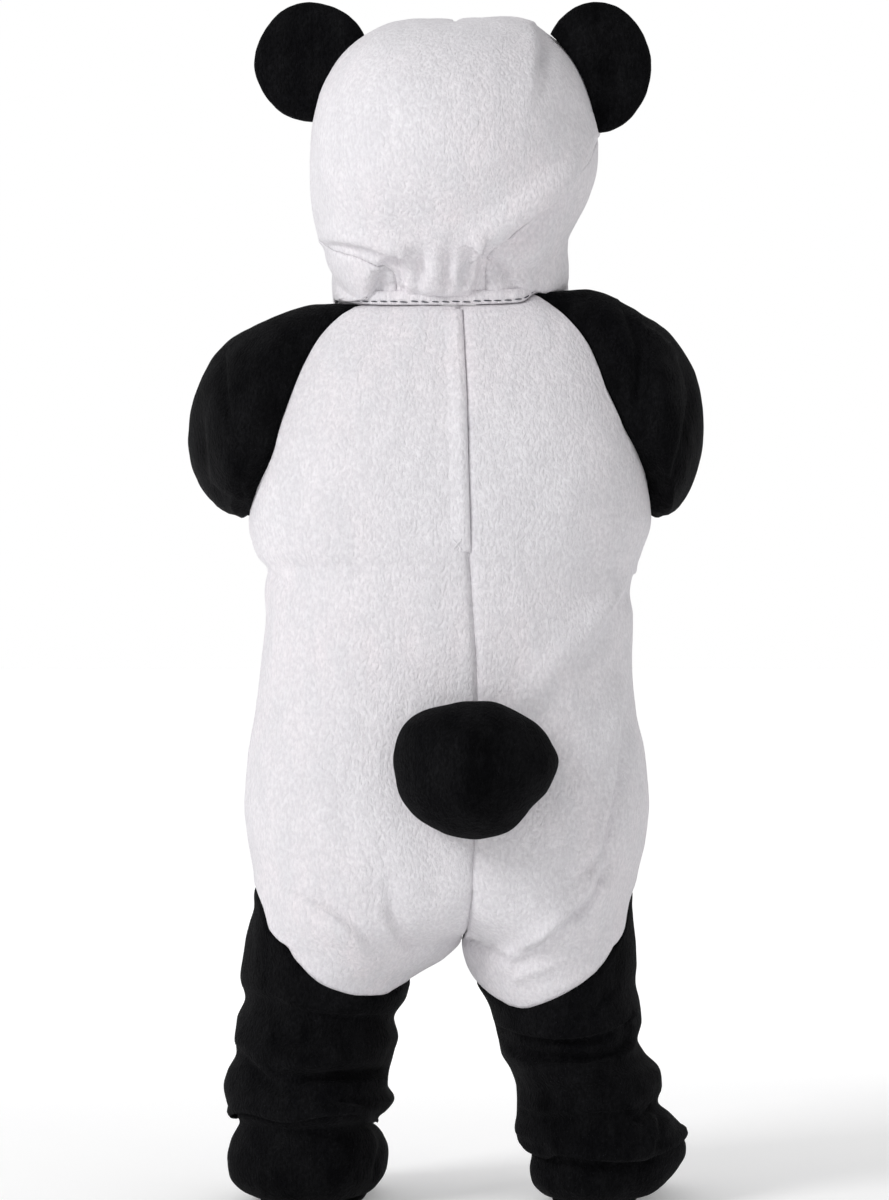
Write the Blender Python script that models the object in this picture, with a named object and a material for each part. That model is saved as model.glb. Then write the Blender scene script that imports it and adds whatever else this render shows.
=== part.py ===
"""Panda costume: a toddler's footed plush jumpsuit with hood, ears and tail, worn, with its back to -Y.

Lengths in the tables are millimetres, x to the costume's right side as seen from behind, z from the
back neckline up. The cloth is a wall through sections of the worn form, cut at the sewn seams.
"""

import math

import bmesh
import bpy
import numpy as np

MM = 0.001
WALL = 2.4
SEAM_GAP = 0.3
LAID_ON = 0.4
BOXY = 2.3
LEAST_TURN = 0.012
CROTCH = -423.0
INSEAM = -448.0
FLOOR = -591.5
SOLE = 2.4
SOLE_TAPER = 0.985
BAND_HEIGHT = 7.0
BAND_GAP = 0.5
BAND_THICK = 3.0
BAND_PROUD = 0.3
LEFT, RIGHT = -1, 1

# Grid counts of the cut pieces
NECK_STEPS = 4
RAGLAN_STEPS = 8
SHOULDER_STEPS = 6
YOKE_STEPS = 8
SEAT_STEPS = 4
INSEAM_STEPS = 2
PANEL_LEVELS = (-160, -172, -184, -198, -213, -243, -274, -305, -333, -350)
SLEEVE_ROWS = 15
SLEEVE_FOLD_ROWS = 4
LEG_COLUMNS = 2 * (NECK_STEPS + RAGLAN_STEPS)
LEG_ROWS, FOOT_ROWS = 13, 7
HOOD_NAPE_STEPS = 5
HOOD_SEAM_STEPS = 11
HOOD_ACROSS = 14


def table(names, *rows):
    """A short table as named columns, with one value for each row."""
    return dict(zip(names.split(), np.array(rows, float).T))


# Sections of the body from the neck to the crotch: outline, closing seam, cleft between the legs, depths
TORSO = table(
    "z      left    middle  right  cleft  back   front",
    (8,     -52,    6,      60,    0,     42,    34),
    (-8,    -70,    6.5,    80,    0,     50,    42),
    (-20,   -92,    7.3,    98,    0,     58,    50),
    (-40,   -110,   8.3,    114,   0,     67,    62),
    (-72,   -122,   9.8,    123,   0,     78,    74),
    (-105,  -129,   10.6,   130,   0,     84,    82),
    (-148,  -131,   11.8,   131,   0,     87,    87),
    (-172,  -125,   12.5,   125,   0,     86,    88),
    (-183,  -118.5, 13.4,   120.5, 0,     84,    87),
    (-198,  -120,   14.3,   117.5, 0,     84,    87),
    (-213,  -119,   15.3,   119.5, 0,     85,    88),
    (-243,  -122,   17.2,   119,   0,     85,    89),
    (-274,  -126,   18,     121.5, 0,     87,    91),
    (-305,  -131,   17.5,   127.5, 0,     89,    92),
    (-333,  -132.5, 16.5,   129.5, 0.04,  90,    90),
    (-358,  -130.5, 15.6,   126.8, 0.1,   89,    87),
    (-380,  -127,   14.8,   122,   0.22,  86,    83),
    (-398,  -126.5, 13.4,   118.5, 0.42,  81,    77),
    (-412,  -129.5, 11.5,   120,   0.7,   74,    71),
    (-423,  -132,   8,      121.3, 1,     67,    66),
)

# Sections of each leg and foot down to the floor, with the scrunched folds of the cloth
LEG_LEFT = table(
    "z       inner   outer    back  front",
    (-435,   -4,     -134.5,  63,   64),
    (-447,   -23,    -136,    61,   62),
    (-460,   -28,    -133,    60,   60),
    (-474,   -36,    -138,    57,   58),
    (-486,   -33,    -139,    61,   62),
    (-495,   -35.5,  -138.5,  62,   62),
    (-508,   -39,    -145,    55,   56),
    (-518,   -39.7,  -147,    61,   60),
    (-526,   -35.5,  -145.5,  63,   62),
    (-534,   -41,    -142,    58,   59),
    (-540,   -50,    -136.5,  51,   60),
    (-552,   -43,    -141.5,  52,   74),
    (-563,   -40.5,  -143.5,  54,   89),
    (-574,   -42,    -142,    54,   95),
    (-583,   -47.5,  -135,    50,   95),
    (-589.5, -56,    -121,    41,   87),
)
LEG_RIGHT = table(
    "z       inner   outer    back  front",
    (-437,   11,     122,     62,   64),
    (-450,   17.5,   121,     60,   62),
    (-463,   25,     124,     58,   60),
    (-475,   29,     125,     59,   61),
    (-486,   32,     122,     57,   59),
    (-496,   34,     126.8,   53,   56),
    (-507,   40,     137.5,   60,   61),
    (-519,   44,     138.7,   58,   60),
    (-527,   44.5,   136.5,   55,   58),
    (-536,   44,     145,     58,   66),
    (-545,   42.5,   152,     57,   74),
    (-555,   50,     154,     52,   84),
    (-562,   54,     153.5,   46,   92),
    (-569,   53,     150,     47,   99),
    (-578,   54.5,   143,     47,   104),
    (-585,   60,     135,     43,   104),
    (-589.5, 68,     121,     34,   96),
)
LEG_HEM = {LEFT: -540.0, RIGHT: -562.0}
TOE_TURN = 0.12
TOE_TOP, TOE_RISE = -530.0, 30.0

# Height of the leg seam round the leg: turn is 0 at the inseam, 0.5 at the side, 1 at the inseam again
LEG_SEAM = {
    LEFT: table(
        "turn   z",
        (0,     -448),
        (0.07,  -450.5),
        (0.125, -454.8),
        (0.18,  -454),
        (0.231, -449.5),
        (0.286, -440.8),
        (0.335, -429),
        (0.365, -417),
        (0.404, -401.5),
        (0.45,  -391),
        (0.5,   -387),
        (0.56,  -397),
        (0.63,  -421),
        (0.7,   -441),
        (0.78,  -452),
        (0.88,  -455),
        (1,     -448),
    ),
    RIGHT: table(
        "turn   z",
        (0,     -448),
        (0.04,  -453),
        (0.071, -457.5),
        (0.115, -462),
        (0.151, -463),
        (0.205, -459),
        (0.286, -448.5),
        (0.347, -435.2),
        (0.385, -421.5),
        (0.412, -408),
        (0.45,  -395),
        (0.5,   -388),
        (0.56,  -399),
        (0.63,  -424),
        (0.7,   -444),
        (0.78,  -456),
        (0.88,  -460),
        (1,     -448),
    ),
}

# Height of the panels' neck edge, turn running from the back middle over the side to the front middle
NECK_EDGE = {
    LEFT: table(
        "turn   z",
        (0,     -13.5),
        (0.14,  -13.2),
        (0.28,  -11.5),
        (0.5,   -9),
        (0.72,  -17),
        (0.9,   -27),
        (1,     -29),
    ),
    RIGHT: table(
        "turn   z",
        (0,     -13.5),
        (0.14,  -11.5),
        (0.24,  -4.5),
        (0.5,   -2),
        (0.72,  -14),
        (0.9,   -26),
        (1,     -29),
    ),
}

# Raglan seams from the neck edge to the underarm, seen from behind and from the front
RAGLAN_BACK = {
    LEFT: table(
        "x      z",
        (-56.5, -11.5),
        (-70,   -20),
        (-78,   -34),
        (-85,   -49),
        (-93,   -62),
        (-108,  -93),
        (-115,  -113),
        (-123,  -129),
        (-131,  -148),
    ),
    RIGHT: table(
        "x      z",
        (54,    -4),
        (60,    -8),
        (71,    -24),
        (91,    -51),
        (103,   -72),
        (112,   -92),
        (122,   -111),
        (127.5, -125),
        (131,   -148),
    ),
}
RAGLAN_FRONT = table(
    "out   z",
    (42,   -18),
    (55,   -38),
    (66,   -62),
    (78,   -88),
    (94,   -112),
    (113,  -132),
    (131,  -148),
)

# Rings of the sleeves: out from the middle, heading 0 points sideways and 90 forward, half sizes
SHOULDER_REACH = 0.98
ARMPIT_RING = 4
SLEEVE_LEFT = table(
    "out    y      z      heading  dip   wide   tall",
    (115,   -5,    -81,   12,      -18,  51,    73),
    (126.5, 4,     -86,   24,      -8,   50,    65),
    (137,   27,    -91,   45,      0,    41,    58),
    (141,   55,    -98,   70,      0,    33,    44),
    (138,   82,    -100,  90,      0,    31,    37),
    (128,   116,   -96,   98,      -3,   30,    32),
)
SLEEVE_RIGHT = table(
    "out    y      z      heading  dip   wide   tall",
    (117,   -5,    -75.5, 12,      -18,  51,    78),
    (127.5, 4,     -82,   24,      -8,   50,    69),
    (136,   27,    -88,   45,      0,    40,    62),
    (137,   55,    -97,   70,      0,    32,    45),
    (134,   82,    -98,   90,      0,    31,    37),
    (125,   116,   -95,   98,      -3,   30,    32),
)

# Hood: reach from the head's middle at each elevation, to each side
HEAD = np.array((4.0, -5.0, 88.0))
HOOD_BOXY = 2.2
HOOD = table(
    "elevation  left   back   right  front",
    (90,        83.8,  83.8,  83.8,  83.8),
    (76,        86,    85,    86.5,  85),
    (56,        93,    92,    97.5,  90),
    (35,        96,    98,    97,    90),
    (14,        95,    101,   94.5,  88),
    (0,         94,    101,   93,    88),
    (-18,       98,    98,    94,    90),
    (-34,       106,   95,    99,    94),
    (-49,       119,   95,    110,   98),
    (-58,       110,   97,    108,   104),
    (-70,       100,   96,    100,   112),
)

# Hood seams as directions from the head's middle, from the nape to the forehead; azimuth 0 is the back
HOOD_SEAM = {
    LEFT: table(
        "step  azimuth  elevation",
        (0.1,  -38,     -52),
        (0.2,  -50,     -43),
        (0.35, -88,     -31),
        (0.55, -106,    -8),
        (0.8,  -129,    30),
        (1,    -152,    42),
    ),
    RIGHT: table(
        "step  azimuth  elevation",
        (0.1,  20,      -50),
        (0.2,  27,      -37),
        (0.35, 52,      -16),
        (0.55, 90,      6),
        (0.8,  128,     36),
        (1,    152,     42),
    ),
}
HOOD_MIDDLE = table(
    "step  azimuth  elevation",
    (0,    -6,      -62),
    (0.2,  -6,      -34),
    (0.35, -5,      0),
    (0.55, 0,       58),
    (0.8,  0,       104),
    (1,    0,       130),
)
HOOD_CORNER = {LEFT: 0.14, RIGHT: 0.05}
HOOD_CORNER_STEP = 0.2
HOOD_TUCK = 2.2
FACE_EDGE = table(
    "step  azimuth  elevation",
    (0,    152,     42),
    (0.3,  140,     12),
    (0.6,  134,     -16),
    (0.85, 152,     -42),
    (1,    180,     -62),
)

# Stuffed pieces: middle, half sizes
EARS = table(
    "side   x     y    z      wide   deep  tall",
    (-1,    -89,  6,   148.5, 38.2,  10,   38.8),
    (1,     94.7, -30, 140.2, 35,    10,   42.7),
)
EAR_FULL = 0.8
EAR_HALVINGS = 24
TAIL = table("x y z wide deep tall", (14.7, -105.7, -306.6, 51.4, 38, 43.3))
TAIL_INNER = 16.0
TAIL_LUMPS = 0.035
BALL_FACES = {"ear": (24, 12), "tail": (28, 14)}

PLACKET_WIDE = 12.5
PLACKET_THICK = 1.6
PLACKET_TOP, PLACKET_END = -17.0, -172.0
PLACKET_ROWS = 15

# Large folds seen from behind: a line from (x, z) to (x, z), how far it lifts and its half width
FOLD_FADE = 25.0
FOLD_FRONT, SLEEVE_FOLD_FRONT = -25.0, 20.0
BODY_FOLDS = table(
    "x_from  z_from  x_to   z_to   lift  spread",
    (116,    -268,   97,    -388,  4,    13),
    (97,     -388,   44,    -434,  4.5,  12),
    (108,    -300,   84,    -392,  -4,   11),
    (118,    -190,   70,    -250,  3.5,  14),
    (-118,   -182,   -84,   -196,  -3,   12),
    (-102,   -397,   -53,   -428,  4,    12),
    (-41,    -388,   -22,   -424,  -3,   11),
)
HOOD_FOLDS = table(
    "x_from  z_from  x_to   z_to   lift  spread",
    (78,     66,     21,    25,    5,    11),
    (84,     52,     34,    20,    -3.5, 9),
    (-85,    32,     -34,   18,    3,    10),
    (-8,     6,      -2,    24,    4,    16),
)
SLEEVE_FOLDS = table(
    "x_from  z_from  x_to   z_to   lift  spread",
    (-145,   -46,    -143,  -72,   -4,   9),
    (-163,   -74,    -158,  -123,  -4.5, 9),
    (-158,   -123,   -131,  -142,  -4.5, 9),
    (-151,   -80,    -147,  -116,  3,    10),
    (112,    -11,    120,   -36,   -3.5, 9),
    (120,    -36,    119,   -79,   -3.5, 9),
    (150,    -43,    155,   -72,   -4.5, 9),
    (155,    -72,    135,   -134,  -4.5, 9),
    (137,    -60,    140,   -100,  3,    10),
)

COLOURS = {"white": (0.86, 0.85, 0.87, 1), "black": (0.02, 0.02, 0.023, 1)}
ROUGH = {"white": 0.9, "black": 0.85}


def through(xs, ys, at):
    """A smooth curve through hand-set points that makes no waves between them."""
    order = np.argsort(xs)
    x, y = xs[order], ys[order]
    gap = np.diff(x)
    slope = np.diff(y) / gap
    near, far = slope[:-1], slope[1:]
    first, second = 2 * gap[1:] + gap[:-1], gap[1:] + 2 * gap[:-1]
    bends = near * far > 0
    safe_near, safe_far = np.where(bends, near, 1), np.where(bends, far, 1)
    inside = np.where(bends, (first + second) / (first / safe_near + second / safe_far), 0)
    tangent = np.concatenate(([slope[0]], inside, [slope[-1]]))
    at = np.clip(at, x[0], x[-1])
    i = np.clip(np.searchsorted(x, at) - 1, 0, len(gap) - 1)
    t = (at - x[i]) / gap[i]
    start = y[i] * (1 + 2 * t) * (1 - t) ** 2 + tangent[i] * gap[i] * t * (1 - t) ** 2
    return start + y[i + 1] * t * t * (3 - 2 * t) + tangent[i + 1] * gap[i] * t * t * (t - 1)


def body_rows(side, leg):
    """The columns of one half of the body, torso rows first and then that side's leg."""
    outline = TORSO["left"] if side == LEFT else TORSO["right"]
    return {
        "z": np.append(TORSO["z"], leg["z"]),
        "inner": np.append(TORSO["middle"], leg["inner"]),
        "outer": np.append(outline, leg["outer"]),
        "cleft": np.append(TORSO["cleft"], np.ones(len(leg["z"]))),
        "back": np.append(TORSO["back"], leg["back"]),
        "front": np.append(TORSO["front"], leg["front"]),
    }


BODY = {LEFT: body_rows(LEFT, LEG_LEFT), RIGHT: body_rows(RIGHT, LEG_RIGHT)}


def body_point(side, turn, z):
    """A point of the worn form; turn is 0 at the back middle, 0.5 at the side, 1 at the front middle."""
    rows = BODY[side]
    inner, outer, cleft, back, front = (
        through(rows["z"], rows[name], z) for name in ("inner", "outer", "cleft", "back", "front")
    )
    power = 2 / (BOXY + (2 - BOXY) * cleft)
    angle = (2 * turn - 1) * (math.pi / 2 + np.arcsin(np.clip(cleft, 0, 1)))
    half = (outer - inner) / (1 + cleft**power)
    across, along = np.cos(angle), np.sin(angle)
    x = outer - half + half * np.sign(across) * np.abs(across) ** power
    y = np.where(angle < 0, back, front) * np.sign(along) * np.abs(along) ** power
    foot = np.clip((TOE_TOP - z) / TOE_RISE, 0, 1)
    return folded(np.stack((x + TOE_TURN * foot * y, y, z + 0 * x), -1), BODY_FOLDS, FOLD_FRONT)


def folded(points, folds, fade):
    """The points with large folds on the back, which fade out in front of a depth."""
    x, y, z = points[..., 0], points[..., 1], points[..., 2]
    lift = np.zeros_like(x)
    for row in zip(*folds.values()):
        x_from, z_from, x_to, z_to, height, spread = row
        run = np.array((x_to - x_from, z_to - z_from))
        t = ((x - x_from) * run[0] + (z - z_from) * run[1]) / (run @ run)
        near = np.clip(t, 0, 1)
        off = np.hypot(x - x_from - near * run[0], z - z_from - near * run[1])
        lift += height * np.exp(-((off / spread) ** 2))
    seen = np.clip((fade - y) / FOLD_FADE, 0, 1)
    out = points.copy()
    out[..., 1] -= lift * seen
    return out


def turn_at(side, x, z, face):
    """The turn at which the worn form reaches x at a height above the crotch; face is -1 back, 1 front."""
    rows = BODY[side]
    inner, outer = through(rows["z"], rows["inner"], z), through(rows["z"], rows["outer"], z)
    share = np.clip((x - inner) / (outer - inner), 0, 1)
    return 0.5 + face * np.arccos(share ** (BOXY / 2)) / math.pi


def evenly(xs, zs, count):
    """Points an even way apart on a line that is given by a few of them."""
    length = np.concatenate(([0], np.cumsum(np.hypot(np.diff(xs), np.diff(zs)))))
    at = np.linspace(0, length[-1], count + 1)
    return through(length, xs, at), through(length, zs, at)


def raglan(side, face):
    """Turn and height along a raglan seam, from the neck edge to the underarm."""
    if face < 0:
        x, z = RAGLAN_BACK[side]["x"], RAGLAN_BACK[side]["z"]
    else:
        x, z = side * RAGLAN_FRONT["out"], RAGLAN_FRONT["z"]
    x, z = evenly(x, z, RAGLAN_STEPS)
    least = -face * LEAST_TURN * np.arange(len(x))
    runs_out = np.maximum.accumulate if face < 0 else np.minimum.accumulate
    turn = runs_out(turn_at(side, x, z, face) - least) + least
    turn[-1] = 0.5
    z[0] = through(NECK_EDGE[side]["turn"], NECK_EDGE[side]["z"], turn[0])
    return turn, z


def neck_height(side, turn):
    return through(NECK_EDGE[side]["turn"], NECK_EDGE[side]["z"], turn)


def panel_grid(side, face):
    """Back or front panel: columns from the middle to the side, rows from neck and raglan to leg seam."""
    seam_turn, seam_z = raglan(side, face)
    middle = 0.0 if face < 0 else 1.0
    neck_turn = np.linspace(middle, seam_turn[0], NECK_STEPS + 1)[:-1]
    top_turn = np.concatenate((neck_turn, seam_turn))
    top_z = np.concatenate((neck_height(side, neck_turn), seam_z))
    low_turn = np.linspace(middle, 0.5, len(top_turn))
    low_z = through(LEG_SEAM[side]["turn"], LEG_SEAM[side]["z"], low_turn)
    fork_z = low_z + (CROTCH - INSEAM)
    yoke = np.linspace(0, 1, YOKE_STEPS + 1)[:, None]
    seat = np.linspace(0, 1, SEAT_STEPS + 1)[1:, None]
    last = np.linspace(0, 1, INSEAM_STEPS + 1)[1:, None]
    levels = np.array(PANEL_LEVELS[1:], float)[:, None]
    z = np.concatenate((
        top_z + (PANEL_LEVELS[0] - top_z) * yoke,
        levels + 0 * top_z,
        PANEL_LEVELS[-1] + (fork_z - PANEL_LEVELS[-1]) * seat,
        fork_z + (low_z - fork_z) * last,
    ))
    turn = np.concatenate((top_turn + (low_turn - top_turn) * yoke**2, low_turn + 0 * z[len(yoke):]))
    return body_point(side, turn, z)


def catmull(points, count):
    """Rows on a smooth surface through given rings, an even share of them between each two."""
    knots = np.arange(len(points))
    at = np.linspace(0, len(points) - 1, count)
    i = np.clip(at.astype(int), 0, len(points) - 2)
    t = (at - knots[i])[:, None, None]
    padded = np.concatenate(([2 * points[0] - points[1]], points, [2 * points[-1] - points[-2]]))
    a, b, c, d = padded[i], padded[i + 1], padded[i + 2], padded[i + 3]
    return 0.5 * (2 * b + (c - a) * t + (2 * a - 5 * b + 4 * c - d) * t**2 + (3 * b - a - 3 * c + d) * t**3)


def armhole(side):
    """The closed seam of a sleeve: up the back raglan, over the shoulder, down the front raglan."""
    back_turn, back_z = raglan(side, -1)
    front_turn, front_z = raglan(side, 1)
    over = np.linspace(back_turn[0], front_turn[0], SHOULDER_STEPS + 1)[1:-1]
    turn = np.concatenate((back_turn[::-1], over, front_turn[:-1]))
    z = np.concatenate((back_z[::-1], neck_height(side, over), front_z[:-1]))
    return body_point(side, turn, z)


def sleeve_grid(side):
    """Sleeve from the armhole to the open cuff, closed round."""
    rows = SLEEVE_LEFT if side == LEFT else SLEEVE_RIGHT
    hole = armhole(side)
    rise = []
    for face in (-1, 1):
        z = raglan(side, face)[1]
        rise.append(np.arccos(1 - 2 * SHOULDER_REACH * (z - z[-1]) / (z[0] - z[-1])))
    back, front = rise[0][::-1], 2 * math.pi - rise[1]
    angle = np.concatenate((back, np.linspace(back[-1], front[0], SHOULDER_STEPS + 1)[1:-1], front[:-1]))
    rings = [hole]
    for out, y, z, heading, dip, wide, tall in zip(*rows.values()):
        turn, sink = math.radians(heading), math.radians(dip)
        outward = np.array((side * math.sin(turn), -math.cos(turn), 0))
        level = math.cos(sink)
        along = np.array((side * math.cos(turn) * level, math.sin(turn) * level, -math.sin(sink)))
        up = np.cross(along, outward) * -side
        ring = np.outer(np.sin(angle) * wide, outward) - np.outer(np.cos(angle) * tall, up)
        rings.append(ring + (side * out, y, z))
    # In front the cloth runs straight to the ring at the armpit; the back and the shoulder round out before it
    back = np.sin(angle)
    rounded = np.clip(np.where(np.cos(angle) < 0, 1 + 2.5 * back, 0.5 + back), 0, 1)[:, None]
    for step in range(1, ARMPIT_RING):
        straight = hole + (rings[ARMPIT_RING] - hole) * step / ARMPIT_RING
        rings[step] = straight + (rings[step] - straight) * rounded
    return catmull(np.array(rings), SLEEVE_ROWS)


def leg_grid(side, rows, top, bottom):
    """A stretch of the leg or foot, closed round; top and bottom give the height at each turn."""
    turn = np.linspace(0, 1, LEG_COLUMNS + 1)[:-1]
    t = np.linspace(0, 1, rows)[:, None]
    high, low = top(turn), bottom(turn)
    return body_point(side, turn + 0 * t, high + (low - high) * t)


def direction(azimuth, elevation):
    a, e = np.radians(azimuth), np.radians(elevation)
    return np.stack((np.sin(a) * np.cos(e), -np.cos(a) * np.cos(e), np.sin(e)), -1)


def hood_reach(way):
    """How far the hood lies from the head's middle in a direction."""
    flat = np.hypot(way[..., 0], way[..., 1])
    elevation = np.degrees(np.arctan2(way[..., 2], flat))
    left, back, right, front = (
        through(HOOD["elevation"], HOOD[name], elevation) for name in ("left", "back", "right", "front")
    )
    sideways = np.abs(way[..., 0]) / np.maximum(flat, 1e-9)
    lengthways = np.abs(way[..., 1]) / np.maximum(flat, 1e-9)
    to_side = np.where(way[..., 0] < 0, left, right)
    to_end = np.where(way[..., 1] < 0, back, front)
    shape = (sideways / to_side) ** HOOD_BOXY + (lengthways / to_end) ** HOOD_BOXY
    return shape ** (-1 / HOOD_BOXY)


def on_hood(way):
    return HEAD + way * hood_reach(way)[..., None]


def neck_point(side, turn):
    """The hood's neck edge, just above the band."""
    point = body_point(side, turn, neck_height(side, turn))
    point[..., 2] += BAND_HEIGHT + 2 * BAND_GAP
    return point


def seam_line(side, steps):
    """Points of a hood seam; step 0 is its corner at the neck edge."""
    rows = HOOD_SEAM[side]
    corner = neck_point(side, np.array(HOOD_CORNER[side])) - HEAD
    azimuth = math.degrees(math.atan2(corner[0], -corner[1]))
    elevation = math.degrees(math.atan2(corner[2], math.hypot(corner[0], corner[1])))
    at = np.append(0, rows["step"])
    way = direction(
        through(at, np.append(azimuth, rows["azimuth"]), steps),
        through(at, np.append(elevation, rows["elevation"]), steps),
    )
    line = on_hood(way)
    line[0] = np.where(steps[0] == 0, corner + HEAD, line[0])
    return line


def patch(top, bottom, first, last):
    """Points of the hood inside four edges: top and bottom run across, first and last run down."""
    edges = []
    for edge in (top, bottom, first, last):
        way = edge - HEAD
        length = np.linalg.norm(way, axis=-1, keepdims=True)
        way = way / length
        edges.append(np.concatenate((way, length / hood_reach(way)[..., None]), -1))
    top, bottom, first, last = edges
    u = np.linspace(0, 1, len(top))[None, :, None]
    v = np.linspace(0, 1, len(first))[:, None, None]
    fall = np.concatenate((v, v, v, v**HOOD_TUCK), -1)
    across = top * (1 - fall) + bottom * fall
    down = first[:, None] * (1 - u) + last[:, None] * u
    corners = (top[0] * (1 - u) + top[-1] * u) * (1 - fall) + (bottom[0] * (1 - u) + bottom[-1] * u) * fall
    mixed = across + down - corners
    way = mixed[..., :3] / np.linalg.norm(mixed[..., :3], axis=-1, keepdims=True)
    return HEAD + way * (hood_reach(way) * mixed[..., 3])[..., None]


HOOD_STEPS = np.concatenate((
    np.linspace(0, HOOD_CORNER_STEP, HOOD_NAPE_STEPS + 1),
    np.linspace(HOOD_CORNER_STEP, 1, HOOD_SEAM_STEPS + 1)[1:],
))


def crown_grid():
    """Crown and back of the hood, rows from the forehead to the nape, columns from left to right."""
    steps = HOOD_STEPS[::-1]
    middle = direction(
        through(HOOD_MIDDLE["step"], HOOD_MIDDLE["azimuth"], steps),
        through(HOOD_MIDDLE["step"], HOOD_MIDDLE["elevation"], steps),
    )
    share = np.linspace(0, 1, HOOD_ACROSS // 2 + 1)[:, None, None]
    halves = []
    for side in (LEFT, RIGHT):
        seam = seam_line(side, HOOD_STEPS)[::-1] - HEAD
        length = np.linalg.norm(seam, axis=-1, keepdims=True)
        proud = length / hood_reach(seam / length)[:, None] - 1
        way = middle * (1 - share) + seam / length * share
        way /= np.linalg.norm(way, axis=-1, keepdims=True)
        halves.append(HEAD + way * hood_reach(way)[..., None] * (1 + proud * share))
    grid = np.concatenate((halves[0][::-1], halves[1][1:])).transpose(1, 0, 2)
    span = np.linspace(-HOOD_CORNER[LEFT], HOOD_CORNER[RIGHT], HOOD_ACROSS + 1)
    nape = np.where(
        (span < 0)[:, None], neck_point(LEFT, np.maximum(-span, 0)), neck_point(RIGHT, np.maximum(span, 0))
    )
    pull = np.clip(1 - steps / HOOD_CORNER_STEP, 0, 1)[:, None, None] ** 2
    return grid + (nape - grid[-1]) * pull


def hood_side_grid(side):
    """Side of the hood: from the seam down to the neck edge, and from the nape to the face opening."""
    seam = seam_line(side, HOOD_STEPS)
    first, top = seam[: HOOD_NAPE_STEPS + 1][::-1], seam[HOOD_NAPE_STEPS:]
    bottom = neck_point(side, np.linspace(HOOD_CORNER[side], 1, HOOD_SEAM_STEPS + 1))
    step = np.linspace(0, 1, HOOD_NAPE_STEPS + 1)
    face = on_hood(direction(
        side * through(FACE_EDGE["step"], FACE_EDGE["azimuth"], step),
        through(FACE_EDGE["step"], FACE_EDGE["elevation"], step),
    ))
    face[0], face[-1] = top[-1], bottom[-1]
    return patch(top, bottom, first, face)


def cut_pieces():
    """Each cut piece of the wall: colour, outer points, whether it closes round, and which way it faces."""
    pieces = {}
    for side, name in ((LEFT, "left"), (RIGHT, "right")):
        seam = LEG_SEAM[side]
        hem = LEG_HEM[side]
        foot = FLOOR + SOLE

        def seam_height(turn, seam=seam):
            return through(seam["turn"], seam["z"], turn)

        pieces[f"back_{name}"] = ("white", panel_grid(side, -1), False, -side)
        pieces[f"front_{name}"] = ("white", panel_grid(side, 1), False, side)
        pieces[f"sleeve_{name}"] = ("black", sleeve_grid(side), True, -side)
        leg = leg_grid(side, LEG_ROWS, seam_height, lambda turn, hem=hem: hem + 0 * turn)
        pieces[f"leg_{name}"] = ("black", leg, True, -side)
        low = leg_grid(
            side, FOOT_ROWS, lambda turn, hem=hem: hem + 0 * turn, lambda turn, foot=foot: foot + 0 * turn
        )
        pieces[f"foot_{name}"] = ("black", low, True, -side)
        pieces[f"hood_{name}"] = ("white", hood_side_grid(side), False, -side)
    pieces["hood_crown"] = ("white", crown_grid(), False, -1)
    for name, (colour, grid, wrap, flip) in pieces.items():
        if name.startswith("hood"):
            pieces[name] = (colour, folded(grid, HOOD_FOLDS, FOLD_FRONT), wrap, flip)
        if name.startswith("sleeve"):
            away = np.clip(np.arange(SLEEVE_ROWS) / SLEEVE_FOLD_ROWS, 0, 1)[:, None, None]
            creased = folded(grid, SLEEVE_FOLDS, SLEEVE_FOLD_FRONT)
            pieces[name] = (colour, grid + (creased - grid) * away, wrap, flip)
    return pieces


def faces_of(rows, columns, wrap, start=0):
    """Quads of a grid of points, as indexes."""
    across = columns if wrap else columns - 1
    return [
        (
            start + r * columns + c,
            start + r * columns + (c + 1) % columns,
            start + (r + 1) * columns + (c + 1) % columns,
            start + (r + 1) * columns + c,
        )
        for r in range(rows - 1)
        for c in range(across)
    ]


def shared_normals(pieces):
    """Outward normals at all outer points, the same on both sides of every seam."""
    total = {}
    for _, grid, wrap, flip in pieces.values():
        rows, columns, _ = grid.shape
        flat = grid.reshape(-1, 3)
        for quad in faces_of(rows, columns, wrap):
            a, b, c, d = flat[list(quad)]
            normal = np.cross(c - a, d - b) * flip
            for point in (a, b, c, d):
                key = tuple(np.round(point, 2) + 0.0)
                total[key] = total.get(key, 0) + normal
    result = {}
    for name, (_, grid, _, _) in pieces.items():
        normals = np.array([total[tuple(np.round(p, 2) + 0.0)] for p in grid.reshape(-1, 3)])
        normals /= np.linalg.norm(normals, axis=1, keepdims=True)
        result[name] = normals.reshape(grid.shape)
    return result


def trimmed(grid, normals, wrap, amount):
    """The grid with its open edges drawn in, within the cloth and square to each edge."""
    out = grid.copy()

    def draw(edge, inner, closed):
        line = grid[edge]
        tangent = np.roll(line, -1, 0) - np.roll(line, 1, 0) if closed else np.gradient(line, axis=0)
        inward = np.cross(normals[edge], tangent)
        inward /= np.linalg.norm(inward, axis=-1, keepdims=True)
        out[edge] += inward * np.sign((inward * (grid[inner] - line)).sum()) * amount

    draw(np.s_[0], np.s_[1], wrap)
    draw(np.s_[-1], np.s_[-2], wrap)
    if not wrap:
        draw(np.s_[:, 0], np.s_[:, 1], False)
        draw(np.s_[:, -1], np.s_[:, -2], False)
    return out


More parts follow.
